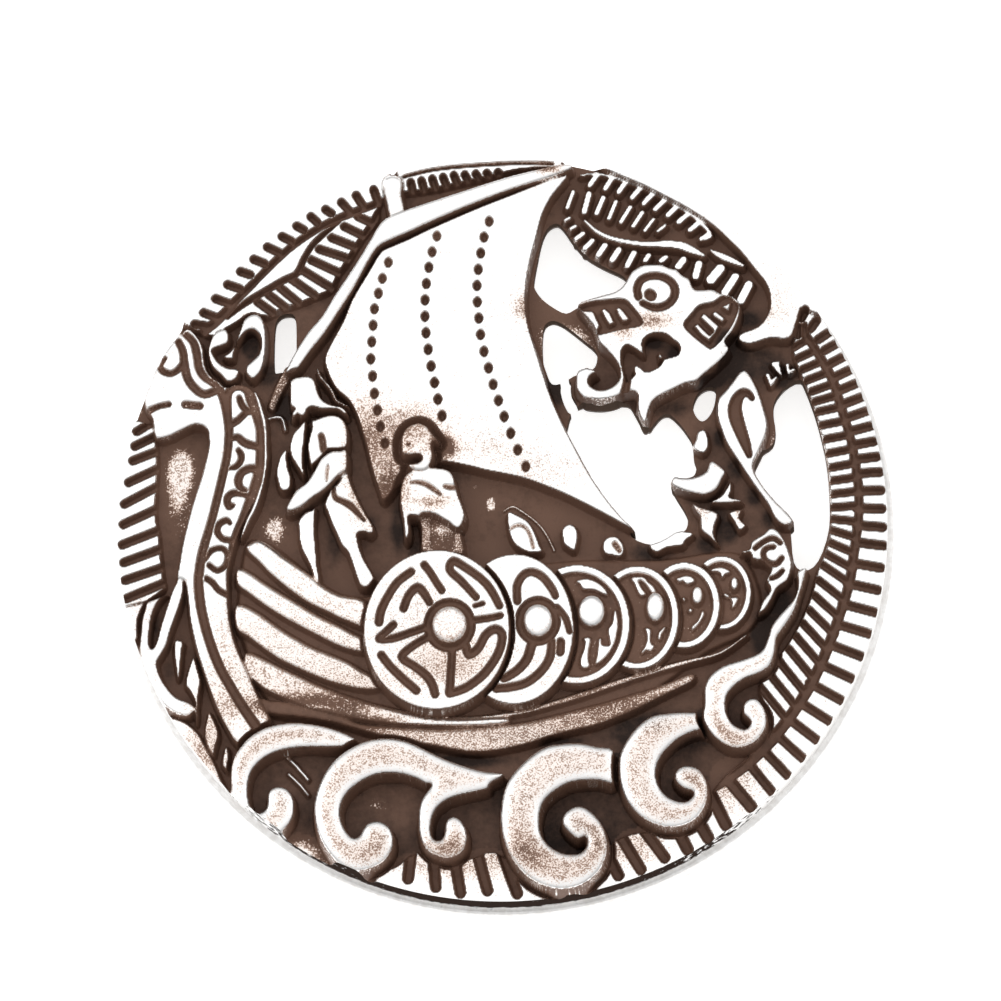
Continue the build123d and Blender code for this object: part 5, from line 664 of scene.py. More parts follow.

# Soft patches of old stain left on raised metal, and one of painted shade under the guard's cloak, or, below
# zero, of stain rubbed off a low place:
# middle x and y, half width, half height, strength
STAIN_AND_SHADE_PATCHES = [
    (-36, 20, 5, 16, 0.2), (-31, 10, 6, 8, 0.4), (-23, 26, 9, 7, 0.08), (-15.5, 20.5, 2.6, 2.6, 0.5),
    (-20, 28, 16, 9, 0.05), (-5, 20, 14, 5, 0.08), (12, 14, 14, 6, 0.08), (-43, 45, 4, 10, 0.07),
    # The patch at -17.5, 5.4 paints the shade under the guard's cloak
    (-40, 58, 3, 6, 0.07), (5, 40, 10, 30, 0.02), (-17.5, 5.4, 5, 2, 0.2), (-70, -42, 9, 16, 0.09),
    (-50, -30, 20, 24, 0.07), (-38, -44, 20, 6, 0.08), (-51, -47.5, 12, 2.6, 0.6),
    (-36, -51.5, 8, 1.6, 0.35), (25, -46, 16, 7, 0.12), (58, 76, 8, 6, 0.04), (-17, -26, 20, 20, 0.07),
    (12, 58, 7, 4, 0.6), (-12, -40, 12, 8, 0.03), (-8, -88, 22, 6, 0.17), (32, -84, 10, 6, 0.17),
    (57, -69, 9, 9, 0.14), (76, -45, 8, 14, 0.06), (60, -60, 10, 8, 0.08), (-92, -20, 6, 8, 0.08),
    (38, 53.5, 6, 2.6, 0.22), (30, 50.5, 3, 2.4, 0.18), (-77, -60, 7, 13, 0.16), (67, 56, 8, 5, 0.11),
    (72, 66, 5, 8, 0.05), (-12, -35, 12, 6, 0.08), (10, -35, 8, 8, 0.06), (-27.5, 24.5, 8, 7, 0.09),
    (11, 94.8, 3.4, 1.4, 0.3), (-72.6, -24.7, 3.6, 12, 0.05), (-91, -41.9, 3.6, 5.9, 0.07),
    (-78.3, -18.1, 2.1, 8, 0.04), (-21.7, -18.4, 7.7, 8, 0.03), (-12.6, -39.7, 10.3, 3.7, 0.05),
    (50.7, 3.7, 3.1, 3.7, 0.12), (60.5, 3.7, 2.1, 3.2, 0.15), (55.8, 16.7, 2.6, 2.1, 0.1),
    (52.4, 18.6, 1, 2.1, -0.4), (34.9, -21.9, 6.7, 5.3, 0.04), (50.3, -21.5, 5.1, 5.3, 0.04),
    (-32, -72, 5, 3, -0.6), (-83.6, 9, 5.4, 19, -0.64), (-57, -4, 5, 3, -0.3), (-59.4, 1.2, 4, 4.5, -0.85),
    (-50, -47.5, 7, 1.5, -0.5), (-33, 12, 3, 6, -0.25), (-3.6, 7.2, 1.7, 3, -0.75),
    (-7.7, 11.7, 1.6, 1.4, -0.7), (-15.9, -0.9, 2.4, 1.4, -0.24), (-58, 28, 2, 2.5, -0.6),
]

# Corners painted nearly black as shade: middle x and y, half width, half height, strength
DEEP_CORNER_SHADE = [
    (48, 16, 14, 18, 0.3), (43.1, 32.1, 5.7, 3.2, 0.7), (55.7, 24.4, 2.1, 2.4, 0.8),
    (59.9, 16.9, 2.3, 2.9, 0.8), (64.3, 8.9, 2.3, 2.9, 0.8), (67.7, 2.8, 2.1, 2.4, 0.7),
    (57.9, -0.8, 2.6, 2.7, 0.8), (37.4, -6, 5.1, 3.2, 0.8), (52, -4.5, 3.1, 2.7, 0.7),
    (70.9, -19.5, 2.3, 4.3, 0.7), (-85.9, -37.1, 2.3, 3.7, 0.5), (-89.8, -24.6, 1.3, 4, 0.5),
    (21.9, 6.5, 6.7, 2.4, 0.35), (-64.1, -28.8, 1.3, 8, 0.35), (63.3, 55.9, 3, 2, 0.7),
    (60, 48.2, 2, 2.6, 0.6), (71.3, 37.8, 4, 1.8, 0.7), (-66.2, 49.8, 2, 3.6, 1.3), (-62, 42, 4, 3.5, 0.8),
    (-57, 33, 3.5, 4, 0.9), (-52, 33.5, 3, 1.5, 0.9), (38, -53, 13, 4.5, 1.2), (12, -55.5, 8, 1.5, 0.8),
    (-8, -60.5, 12, 2, 0.9), (-44, -3, 2.5, 7, 0.5), (-36, 2, 3, 2, 0.7), (12, 37, 4, 3.5, 1),
    (56.5, 46, 3, 4, 1.2), (51, 39, 4, 2, 0.9), (57, 50, 2, 3, 0.8), (64, 44, 9, 4, 1.2),
    (72, 41, 4, 2, 1.2), (50, 10, 3, 2, 0.6), (55, 2, 3, 5, 0.6), (66, -27, 3, 6, 0.9),
    (-79, -37, 2, 6, 0.6), (-12, 3, 2.5, 6, 0.6), (-27.5, 1, 1.8, 6, 0.7), (44, 46, 3, 3, 0.8),
    (38, 49, 3, 2, 0.8),
]


def outline(points, top):
    """An outline in millimetres, put back to where a face at this height really lies."""
    rise = top - read_height
    return [((p[0] + lean_right * rise) * share, (p[1] - lean_up * rise) * share) for p in points]


def soft(points, closed=True, steps=3):
    """A smooth curve through the points, each row with as many columns as it came with."""
    rows = np.array(points, float)
    count = len(rows)
    if count < 3:
        return rows.tolist()
    out = []
    for place in range(count if closed else count - 1):
        picks = [place + step for step in (-1, 0, 1, 2)]
        picks = [pick % count if closed else min(max(pick, 0), count - 1) for pick in picks]
        before, here, after, beyond = rows[picks]
        for step in range(steps):
            t = step / steps
            curve = 2 * here + (after - before) * t + (2 * before - 5 * here + 4 * after - beyond) * t ** 2
            out.append((curve + (3 * here - before - 3 * after + beyond) * t ** 3) / 2)
    if not closed:
        out.append(rows[-1])
    return [tuple(row) for row in out]


def curved(points, top):
    """A table's outline as a smooth one in millimetres."""
    return outline(soft(points), top)


def oval(middle_x, middle_y, half_x, half_y, corners=28):
    """An oval as a many-sided outline."""
    turns = [2 * math.pi * corner / corners for corner in range(corners)]
    return [(middle_x + half_x * math.cos(turn), middle_y + half_y * math.sin(turn)) for turn in turns]


def rim_outline(start, end, inner):
    """A rim face drawn past the edge of the disc."""
    turns = np.radians(np.linspace(start, end, 25))
    past_edge = 106
    arc = [(past_edge * math.cos(turn), past_edge * math.sin(turn)) for turn in turns]
    return arc + soft(inner, closed=False)


def ladder(rows):
    """The grooves of a ladder; those between two rows of the table lie evenly between them."""
    grooves = []
    for (first, *start), (last, *end) in zip(rows, rows[1:]):
        for number in range(first, last):
            part_way = (number - first) / (last - first)
            grooves.append([a + (b - a) * part_way for a, b in zip(start, end)])
    return grooves + [list(rows[-1][1:])]


# The relief is a field of heights over a square grid that covers the disc. Beside it the grid keeps how far
# each place is from the raised pieces, how high the polishing wheel reached, and how dull the polish is.
half_cells = int(math.ceil(disc_radius / cell)) + 2
ticks = np.arange(-half_cells, half_cells + 1) * cell
grid_x, grid_y = np.meshgrid(ticks, ticks)
height = np.full(grid_x.shape, floor_top)
covered = np.full(grid_x.shape, far_off)
skin = np.full(grid_x.shape, floor_top + polish_over_floor)
tarnish = np.zeros(grid_x.shape)


def window(points, margin):
    """The part of the grid around an outline, as two slices."""
    slices = []
    for column in (1, 0):
        values = [point[column] for point in points]
        low = int(np.clip((min(values) - margin) / cell + half_cells, 0, 2 * half_cells))
        high = int(np.clip((max(values) + margin) / cell + half_cells + 2, 1, 2 * half_cells + 1))
        slices.append(slice(low, high))
    return tuple(slices)


def edge_distance(points, area):
    """Distance in millimetres to a closed outline, below zero inside it."""
    x, y = grid_x[area], grid_y[area]
    nearest = np.full(x.shape, 1e9)
    inside = np.zeros(x.shape, bool)
    for (ax, ay), (bx, by) in zip(points, points[1:] + points[:1]):
        run_x, run_y = bx - ax, by - ay
        length = run_x * run_x + run_y * run_y
        if length == 0:
            continue
        along = np.clip(((x - ax) * run_x + (y - ay) * run_y) / length, 0, 1)
        nearest = np.minimum(nearest, (x - ax - along * run_x) ** 2 + (y - ay - along * run_y) ** 2)
        if ay != by:
            inside ^= ((ay > y) != (by > y)) & (x < ax + (y - ay) * run_x / run_y)
    nearest = np.sqrt(nearest)
    return np.where(inside, -nearest, nearest)


def line_distance(line, area):
    """Distance in millimetres to the edge of a line whose half width changes along it."""
    x, y = grid_x[area], grid_y[area]
    nearest = np.full(x.shape, 1e9)
    for (ax, ay, a_half), (bx, by, b_half) in zip(line, line[1:]):
        run_x, run_y = bx - ax, by - ay
        length = run_x * run_x + run_y * run_y
        along = np.clip(((x - ax) * run_x + (y - ay) * run_y) / length, 0, 1)
        away = np.hypot(x - ax - along * run_x, y - ay - along * run_y)
        nearest = np.minimum(nearest, away - (a_half + (b_half - a_half) * along))
    return nearest


def line_in_mm(line, top):
    """A line of x, y, width in shares as x, y, half width in millimetres, at its true place."""
    curve = soft(line, closed=False)
    places = outline(curve, top)
    return [(x, y, row[2] * share / 2) for (x, y), row in zip(places, curve)]


def ramp(distance, width=wall):
    """1 well inside an edge, 0 well outside it, and even in between."""
    return np.clip(0.5 - distance / width, 0, 1)


def smooth_step(value, low, high):
    """0 below low, 1 above high, and a soft turn between them."""
    t = np.clip((value - low) / (high - low), 0, 1)
    return t * t * (3 - 2 * t)


def round_edge(distance, top, rounding):
    """A flat top that turns down in a quarter round at its edge."""
    from_edge = np.clip(rounding + distance, 0, rounding)
    return top - rounding + np.sqrt(np.clip(rounding ** 2 - from_edge ** 2, 0, None))


def fuller(distance, crown, run):
    """How much higher than its edge a piece stands towards its middle."""
    return crown * (1 - np.exp(np.minimum(distance, 0) / run))


def lay_over(profile, polished, distance, area, dull=0.0):
    """Puts a new surface over the old where it stands higher, and notes how high the polish was."""
    here = height[area]
    share_in = ramp(distance)
    height[area] = here + np.clip(profile - here, 0, None) * share_in
    on_top = (share_in > 0.5) & (profile >= here)
    skin[area] = np.where(on_top, polished, skin[area])
    tarnish[area] = np.where(on_top, dull, tarnish[area])
    covered[area] = np.minimum(covered[area], distance)


def raise_area(distance, area, top, rounding, crown=0.0, stained=0.0, dull=0.0):
    """Raises an area to its height, with a rounded edge and a fuller middle."""
    rise = fuller(distance, crown, sail_run)
    lay_over(round_edge(distance, top, rounding) + rise, top + rise + stained, distance, area, dull)


def raise_outline(points, top, rounding, crown=0.0, stained=0.0, grow=shape_grow, dull=0.0):
    """Raises a closed outline given in millimetres."""
    area = window(points, margin)
    raise_area(edge_distance(points, area) - grow, area, top, rounding, crown, stained, dull)


def raise_line(line, top, rounding, dull=0.0):
    """Raises a strand given as x, y, width in shares."""
    strand = line_in_mm(line, top)
    area = window(strand, wide_margin)
    raise_area(line_distance(strand, area) - strand_grow, area, top, rounding, dull=dull)


def lower_area(distance, area, bottom):
    """Cuts an area down to a depth, where it is not already lower."""
    here = height[area]
    height[area] = here - np.clip(here - bottom, 0, None) * ramp(distance)


def cut_line(line, top, bottom):
    """Cuts a groove given as x, y, width in shares, in a face at this top."""
    groove = line_in_mm(line, top)
    area = window(groove, halo_margin)
    lower_area(line_distance(groove, area) + groove_shrink, area, bottom)


def cut_outline(points, bottom):
    """Cuts a closed outline given in millimetres."""
    area = window(points, margin)
    lower_area(edge_distance(points, area), area, bottom)


def raise_plank(top, rounding, points, dull):
    """A clinker plank: it rises slowly from its upper edge and falls sharply at its lower one."""
    edge = curved(points, top)
    area = window(edge, margin)
    distance = edge_distance(edge, area) - plank_grow
    up, across = np.gradient(distance, cell)
    upper = smooth_step(up * 0.85 + across * 0.5, -0.2, 0.5)
    sharp = round_edge(distance, top, rounding)
    gentle = plank_low_edge + (top - plank_low_edge) * smooth_step(-distance, -plank_grow, plank_lean)
    profile = sharp * (1 - upper) + np.minimum(gentle, sharp) * upper
    lay_over(profile, np.full(profile.shape, top), distance, area, dull)


def engrave(name, top):
    """The engraved lines of a piece, cut into its own height."""
    if name in ENGRAVED:
        depth, lines = ENGRAVED[name]
        for line in lines:
            cut_line(line, top, top - depth)


def carve_rim():
    """The flat faces of the rim with their long lines and ladders, and the crest."""
    for top, rounding, start, end, inner in RIM_FACES.values():
        raise_outline(outline(rim_outline(start, end, inner), top), top, rounding)
    rim_top = RIM_FACES["right_face"][0]
    for line in RIM_LINES.values():
        cut_line(line, rim_top, groove_bottom)
    for width, rows in LADDERS.values():
        for in_x, in_y, out_x, out_y in ladder(rows):
            cut_line([(in_x, in_y, width), (out_x, out_y, width)], rim_top, groove_bottom)


def carve_mane():
    """The bars and ribs of the mane, and small ridges of the floor."""
    for start_x, start_y, end_x, end_y, width in MANE_BARS:
        raise_line([(start_x, start_y, width), (end_x, end_y, width)], bar_top, bar_rounding)
    for table in (MANE_RIBS, FLOOR_RIDGES):
        for name, (top, line) in table.items():
            raise_line(line, top, rib_rounding, spar_foot_dull if name == "spar_foot" else 0.0)


def carve_hull():
    """The hull's side, its planks, keel and wale."""
    for name, (top, rounding, points) in HULL.items():
        if name == "hull_side":
            raise_outline(curved(points, top), top, rounding, stained=polish_over_floor)
        else:
            raise_plank(top, rounding, points, keel_dull if name == "keel" else plank_dull)
    for top, line in HULL_LINE.values():
        raise_line(line, top, wale_rounding, wale_dull)


def carve_rig():
    """The bulging sail with its lacing holes, the yard and the mast head."""
    for name, (top, rounding, crown, points) in RIG.items():
        raise_outline(curved(points, top), top, rounding, crown)
        if name == "sail":
            for row in SAIL_DOTS:
                for x, y in row:
                    hole = oval(x, y, hole_half_x, hole_half_y, 16)
                    cut_outline(outline(hole, top), top - dot_depth)


def carve_beasts():
    """The stern beast with its ornament, the dragon's head, neck and chest, and the knots."""
    for name, (top, rounding, points) in BEASTS.items():
        raise_outline(curved(points, top), top, rounding, grow=glint_grow if "glint" in name else shape_grow)
        engrave(name, top)
        if name == "dragon_head":
            for depth, sunk in SUNK.values():
                cut_outline(curved(sunk, top), top - depth)
            for bar in PLATE_BARS:
                raise_outline(outline(bar, plate_bar_top), plate_bar_top, fine_rounding)
            raise_outline(outline(TOOTH, tooth_top), tooth_top, fine_rounding)
    for top, line in STRANDS.values():
        raise_line(line, top, strand_rounding)


def carve_crew():
    """The two standing men and the seated figures, with the folds of their clothes."""
    for name in ("guard_head", "guard_cloak", "steersman_head"):
        top, _, points = CREW[name]
        edge = curved(points, top)
        area = window(edge, wide_margin)
        dish = dish_floor + dish_rise * smooth_step(edge_distance(edge, area), halo, dish_reach)
        height[area] = np.minimum(height[area], dish)
    for name, (top, rounding, points) in CREW.items():
        dull = tunic_dull if name == "guard_tunic" else 0.0
        raise_outline(curved(points, top), top, rounding * crew_sharpness, grow=crew_grow, dull=dull)
        engrave(name, top)
    for top, line in CREW_LINES.values():
        raise_line(line, top, fine_rounding)


def carve_shields():
    """The six shields from the far one to the near one."""
    for name, x, y, half_x, half_y, top, boss_x, boss_y, boss_half_x, boss_half_y in SHIELDS:
        disc = outline(oval(x, y, half_x, half_y, 64), top)
        area = window(disc, halo_margin)
        lower_area(edge_distance(disc, area) - shield_halo, area, shield_bed)
        raise_outline(disc, top, fine_rounding if name in SHIELD_BITS else shield_rounding)
        if name in SHIELD_BITS:
            rim_width, bits = SHIELD_BITS[name]
            sunk = oval(x, y, half_x - rim_width, half_y - rim_width, 64)
            cut_outline(outline(sunk, top), top - shield_depth)
            for bit in bits:
                raise_outline(curved(bit, top), top - bit_drop, bit_rounding, grow=bit_grow)
        else:
            ring = oval(boss_x, boss_y, boss_half_x + ring_width, boss_half_y + ring_width)
            cut_outline(outline(ring, top), top - shield_depth)
            engrave(name, top)
        boss_top = top + boss_rise
        boss = outline(oval(boss_x, boss_y, boss_half_x, boss_half_y), boss_top - boss_flank)
        raise_outline(boss, boss_top, min(boss_rounding, boss_half_x * share * 0.8))


def carve_waves():
    """The waves, round like rolled cords."""
    for top, rounding, crown, points in WAVES.values():
        edge = curved(points, top - rounding / 2)
        area = window(edge, halo_margin)
        distance = edge_distance(edge, area)
        lower_area(distance - wave_halo, area, groove_bottom)
        profile = round_edge(distance, top, rounding / 2) + fuller(distance, crown, wave_run)
        lay_over(profile, profile, distance, area, wave_dull * smooth_step(-distance, 0.1, 0.8))


def swollen(field, ball, step):
    """The field grown by a ball of this radius rolled over it."""
    reach = int(ball_reach / step)
    padded = np.pad(field, reach, mode="edge")
    rows, columns = field.shape
    grown = np.full(field.shape, -far_off)
    for i in range(-reach, reach + 1):
        for j in range(-reach, reach + 1):
            if i * i + j * j <= reach * reach:
                drop = (i * i + j * j) * step * step / (2 * ball)
                view = padded[reach + i:reach + i + rows, reach + j:reach + j + columns]
                grown = np.maximum(grown, view - drop)
    return grown


def closed_over(field, ball):
    """The field as a ball of this radius could reach it from above: narrow low places are bridged."""
    step = 2 * cell
    coarse = -swollen(-swollen(field[::2, ::2], ball, step), ball, step)
    fine = np.kron(coarse, np.ones((2, 2)))[:field.shape[0], :field.shape[1]]
    return np.maximum(fine, field)


def patch(x, y, half_x, half_y):
    """A soft patch: 1 at its middle, fading out over its half width and half height."""
    away = ((grid_x / share - x) / half_x) ** 2 + ((grid_y / share - y) / half_y) ** 2
    return np.exp(-away)


carve_rim()
carve_mane()
carve_hull()
carve_rig()
carve_beasts()
carve_crew()
carve_shields()
carve_waves()

# Where the plate is: inside the body circle, and outside the openings unless a raised piece crosses them
away_from_middle = np.hypot(grid_x, grid_y)
to_upper_left = (0.6 * grid_y - 0.8 * grid_x) / np.maximum(away_from_middle, 1.0)
from_rim = away_from_middle - body_radius - upper_left_reach * smooth_step(to_upper_left, 0.2, 0.9)
from_gaps = np.full(grid_x.shape, far_off)
for gap in OPENINGS.values():
    gap_edge = curved(gap, read_height)
    gap_area = window(gap_edge, gap_margin)
    from_gaps[gap_area] = np.minimum(from_gaps[gap_area], edge_distance(gap_edge, gap_area))
gap_field = np.maximum(from_gaps, -covered)
solid_field = np.maximum(from_rim, -gap_field)
pull_y, pull_x = np.gradient(solid_field, cell)

# How deep each place lies in the old stain, with one patch of painted shade, and how far below the pieces
# around it
bridged = closed_over(np.where(solid_field < 0.05, height, floor_top), polish_ball)
stain_and_shade_depth = np.minimum(bridged, skin) - height + tarnish
for *place, strength in STAIN_AND_SHADE_PATCHES:
    changed = stain_and_shade_depth + strength * patch(*place)
    stain_and_shade_depth = changed if strength > 0 else np.minimum(stain_and_shade_depth, np.maximum(changed, rubbed_depth))
# How far each place lies below the pieces around it, plus patches of painted shade in the darkest corners:
# this field only sets painted shade in the colour
hollow = bridged - height
for *place, strength in DEEP_CORNER_SHADE:
    hollow = hollow + corner_shade_weight * strength * patch(*place)
slope_y, slope_x = np.gradient(height, cell)


def build_face():
    """The whole face as one fine sheet: a flat grid, cut to the disc and the openings."""
    sheet = bmesh.new()
    cells = 2 * half_cells
    half_size = half_cells * cell
    bmesh.ops.create_grid(sheet, x_segments=cells, y_segments=cells, size=half_size)
    cell_corners = [solid_field[:-1, :-1], solid_field[1:, :-1], solid_field[:-1, 1:], solid_field[1:, 1:]]
    kept_cell = np.maximum.reduce(cell_corners) < 0.5 * cell
    gone = []
    for face in sheet.faces:
        middle = face.calc_center_median()
        if not kept_cell[int((middle.y + half_size) / cell), int((middle.x + half_size) / cell)]:
            gone.append(face)
    bmesh.ops.delete(sheet, geom=gone, context="FACES")
    loose = [vert for vert in sheet.verts if not vert.link_faces]
    bmesh.ops.delete(sheet, geom=loose, context="VERTS")
    return sheet


def settle_sheet(sheet):
    """Pulls the sheet's edge onto the true outlines and lifts every point to its height."""
    column_at = sheet.verts.layers.int.new("column")
    row_at = sheet.verts.layers.int.new("row")
    for vert in sheet.verts:
        x, y = vert.co.x, vert.co.y
        column = int(round(x / cell)) + half_cells
        row = int(round(y / cell)) + half_cells
        vert[column_at] = column
        vert[row_at] = row
        if vert.is_boundary:
            steep = max(math.hypot(pull_x[row, column], pull_y[row, column]), 0.3)
            move = float(np.clip(solid_field[row, column] / steep, -cell, cell))
            x -= move * pull_x[row, column] / steep
            y -= move * pull_y[row, column] / steep
        vert.co = (x * mm, y * mm, (height[row, column] + foot) * mm)
    edge_verts = [vert for vert in sheet.verts if vert.is_boundary]
    for _ in range(6):
        levels = {vert: vert.co.z for vert in edge_verts}
        for vert in edge_verts:
            near = [levels[edge.other_vert(vert)] for edge in vert.link_edges if edge.is_boundary]
            vert.co.z = (levels[vert] + sum(near)) / (1 + len(near))


def new_piece(name, mesh_source, material):
    """An object from a bmesh, at the origin."""
    mesh = bpy.data.meshes.new(name)
    mesh_source.to_mesh(mesh)
    mesh_source.free()
    mesh.materials.append(material)
    piece = bpy.data.objects.new(name, mesh)
    bpy.context.scene.collection.objects.link(piece)
    return piece


def finish_face_piece(piece):
    """Gives a piece of the face its true shading, its polish and its stain, and the depth that sets its
    painted shade.
    """
    mesh = piece.data
    count = len(mesh.vertices)
    columns = np.zeros(count, np.int32)
    rows = np.zeros(count, np.int32)
    mesh.attributes["column"].data.foreach_get("value", columns)
    mesh.attributes["row"].data.foreach_get("value", rows)
    facing = np.stack([-slope_x[rows, columns], -slope_y[rows, columns], np.ones(count)], 1)
    facing /= np.linalg.norm(facing, axis=1)[:, None]
    steepness = np.hypot(slope_x, slope_y)
    for name, field in (("stain_and_shade_depth", stain_and_shade_depth), ("steepness", steepness), ("hollow", hollow)):
        layer = mesh.attributes.new(name, "FLOAT", "POINT")
        layer.data.foreach_set("value", field[rows, columns].astype(np.float32))
    mesh.attributes.remove(mesh.attributes["column"])
    mesh.attributes.remove(mesh.attributes["row"])
    mesh.polygons.foreach_set("use_smooth", np.ones(len(mesh.polygons), bool))
    mesh.normals_split_custom_set_from_vertices(facing.tolist())


def quarter(sheet, side_x, side_y):
    """One quarter of the face."""
    part = sheet.copy()
    far = []
    for face in part.faces:
        middle = face.calc_center_median()
        if (middle.x < 0) != (side_x < 0) or (middle.y < 0) != (side_y < 0):
            far.append(face)
    bmesh.ops.delete(part, geom=far, context="FACES")
    return part


def edge_lies_at(edge, level):
    """Whether both ends of an open edge are at this height in millimetres."""
    return edge.is_boundary and all(abs(vert.co.z - level * mm) < 1e-7 for vert in edge.verts)


def build_back(sheet):
    """The walls of the openings and of the body, the lip, the foot and the hollow with its roof."""
    back = bmesh.new()
    twin = {}
    for edge in sheet.edges:
        if edge.is_boundary:
            for vert in edge.verts:
                if vert not in twin:
                    twin[vert] = back.verts.new(vert.co)
            first = edge.link_loops[0].vert
            back.edges.new((twin[first], twin[edge.other_vert(first)]))

    # The walls go down from the face's edges: to the lip at the rim, and to the roof round the openings
    walls = bmesh.ops.extrude_edge_only(back, edges=back.edges[:])["geom"]
    for item in walls:
        if isinstance(item, bmesh.types.BMVert):
            on_rim = math.hypot(item.co.x, item.co.y) > (body_radius - 0.3) * mm
            item.co.z = (lip_top if on_rim else roof) * mm
    gap_edges = [item for item in walls if isinstance(item, bmesh.types.BMEdge) and edge_lies_at(item, roof)]
    circle = bmesh.ops.create_circle(
        back, cap_ends=False, radius=hollow_radius * mm, segments=ring_corners,
    )["verts"]
    for vert in circle:
        vert.co.z = roof * mm
    ring = set(circle)
    circle_edges = [edge for edge in back.edges if ring.issuperset(edge.verts)]
    bmesh.ops.triangle_fill(
        back, use_beauty=True, use_dissolve=False, edges=gap_edges + circle_edges, normal=(0, 0, -1),
    )

    # The hollow's wall, the foot and the lip are one profile turned round the middle
    bevel = edge_round * 0.3
    profile = [
        (hollow_radius, roof), (hollow_radius, edge_round), (hollow_radius + bevel, bevel),
        (hollow_radius + edge_round, 0), (disc_radius - edge_round, 0), (disc_radius - bevel, bevel),
        (disc_radius, edge_round), (disc_radius, lip_top - edge_round),
        (disc_radius - bevel, lip_top - bevel), (disc_radius - edge_round, lip_top),
    ]
    chain = [back.verts.new((x * mm, 0, z * mm)) for x, z in profile]
    links = [back.edges.new(pair) for pair in zip(chain, chain[1:])]
    bmesh.ops.spin(
        back, geom=chain + links, cent=(0, 0, 0), axis=(0, 0, 1),
        angle=2 * math.pi, steps=ring_corners, use_merge=True,
    )
    lip_edges = [edge for edge in back.edges if edge_lies_at(edge, lip_top)]
    bmesh.ops.triangle_fill(back, use_beauty=True, use_dissolve=False, edges=lip_edges, normal=(0, 0, 1))
    bmesh.ops.remove_doubles(back, verts=back.verts[:], dist=1e-7)
    bmesh.ops.recalc_face_normals(back, faces=back.faces[:])
    return back


def build_fittings():
    """The lug around the pin and the hooked catch, cast on the roof of the hollow."""
    cast = bmesh.new()
    pin_y, pin_z = -10 * share, 0.95
    whole_turn = 2 * math.pi
    lug = (-62 * share, 1.6, 0.5, 0.9, 0, whole_turn)
    catch = (62 * share, 1.4, 0.34, 0.72, -0.75 * math.pi, 0.9 * math.pi)
    for middle_x, length, inner, outer, first, last in (lug, catch):
        half = length / 2
        corners = []
        for x, radius in ((-half, inner), (half, inner), (half, outer), (-half, outer)):
            y = pin_y + radius * math.cos(first)
            z = pin_z + radius * math.sin(first)
            corners.append(cast.verts.new(((middle_x + x) * mm, y * mm, z * mm)))
        ring = [cast.edges.new(pair) for pair in zip(corners, corners[1:] + corners[:1])]
        bmesh.ops.spin(
            cast, geom=corners + ring, cent=(0, pin_y * mm, pin_z * mm), axis=(1, 0, 0),
            angle=last - first, steps=20, use_merge=last - first == whole_turn,
        )
        bmesh.ops.holes_fill(cast, edges=cast.edges[:], sides=4)
        block = bmesh.ops.create_cube(cast, size=1)["verts"]
        tall = roof - pin_z - inner
        bmesh.ops.scale(cast, vec=Vector((length, 2 * outer, tall)) * mm, verts=block)
        bmesh.ops.translate(cast, vec=Vector((middle_x, pin_y, roof - tall / 2)) * mm, verts=block)
    bmesh.ops.recalc_face_normals(cast, faces=cast.faces[:])
    return cast


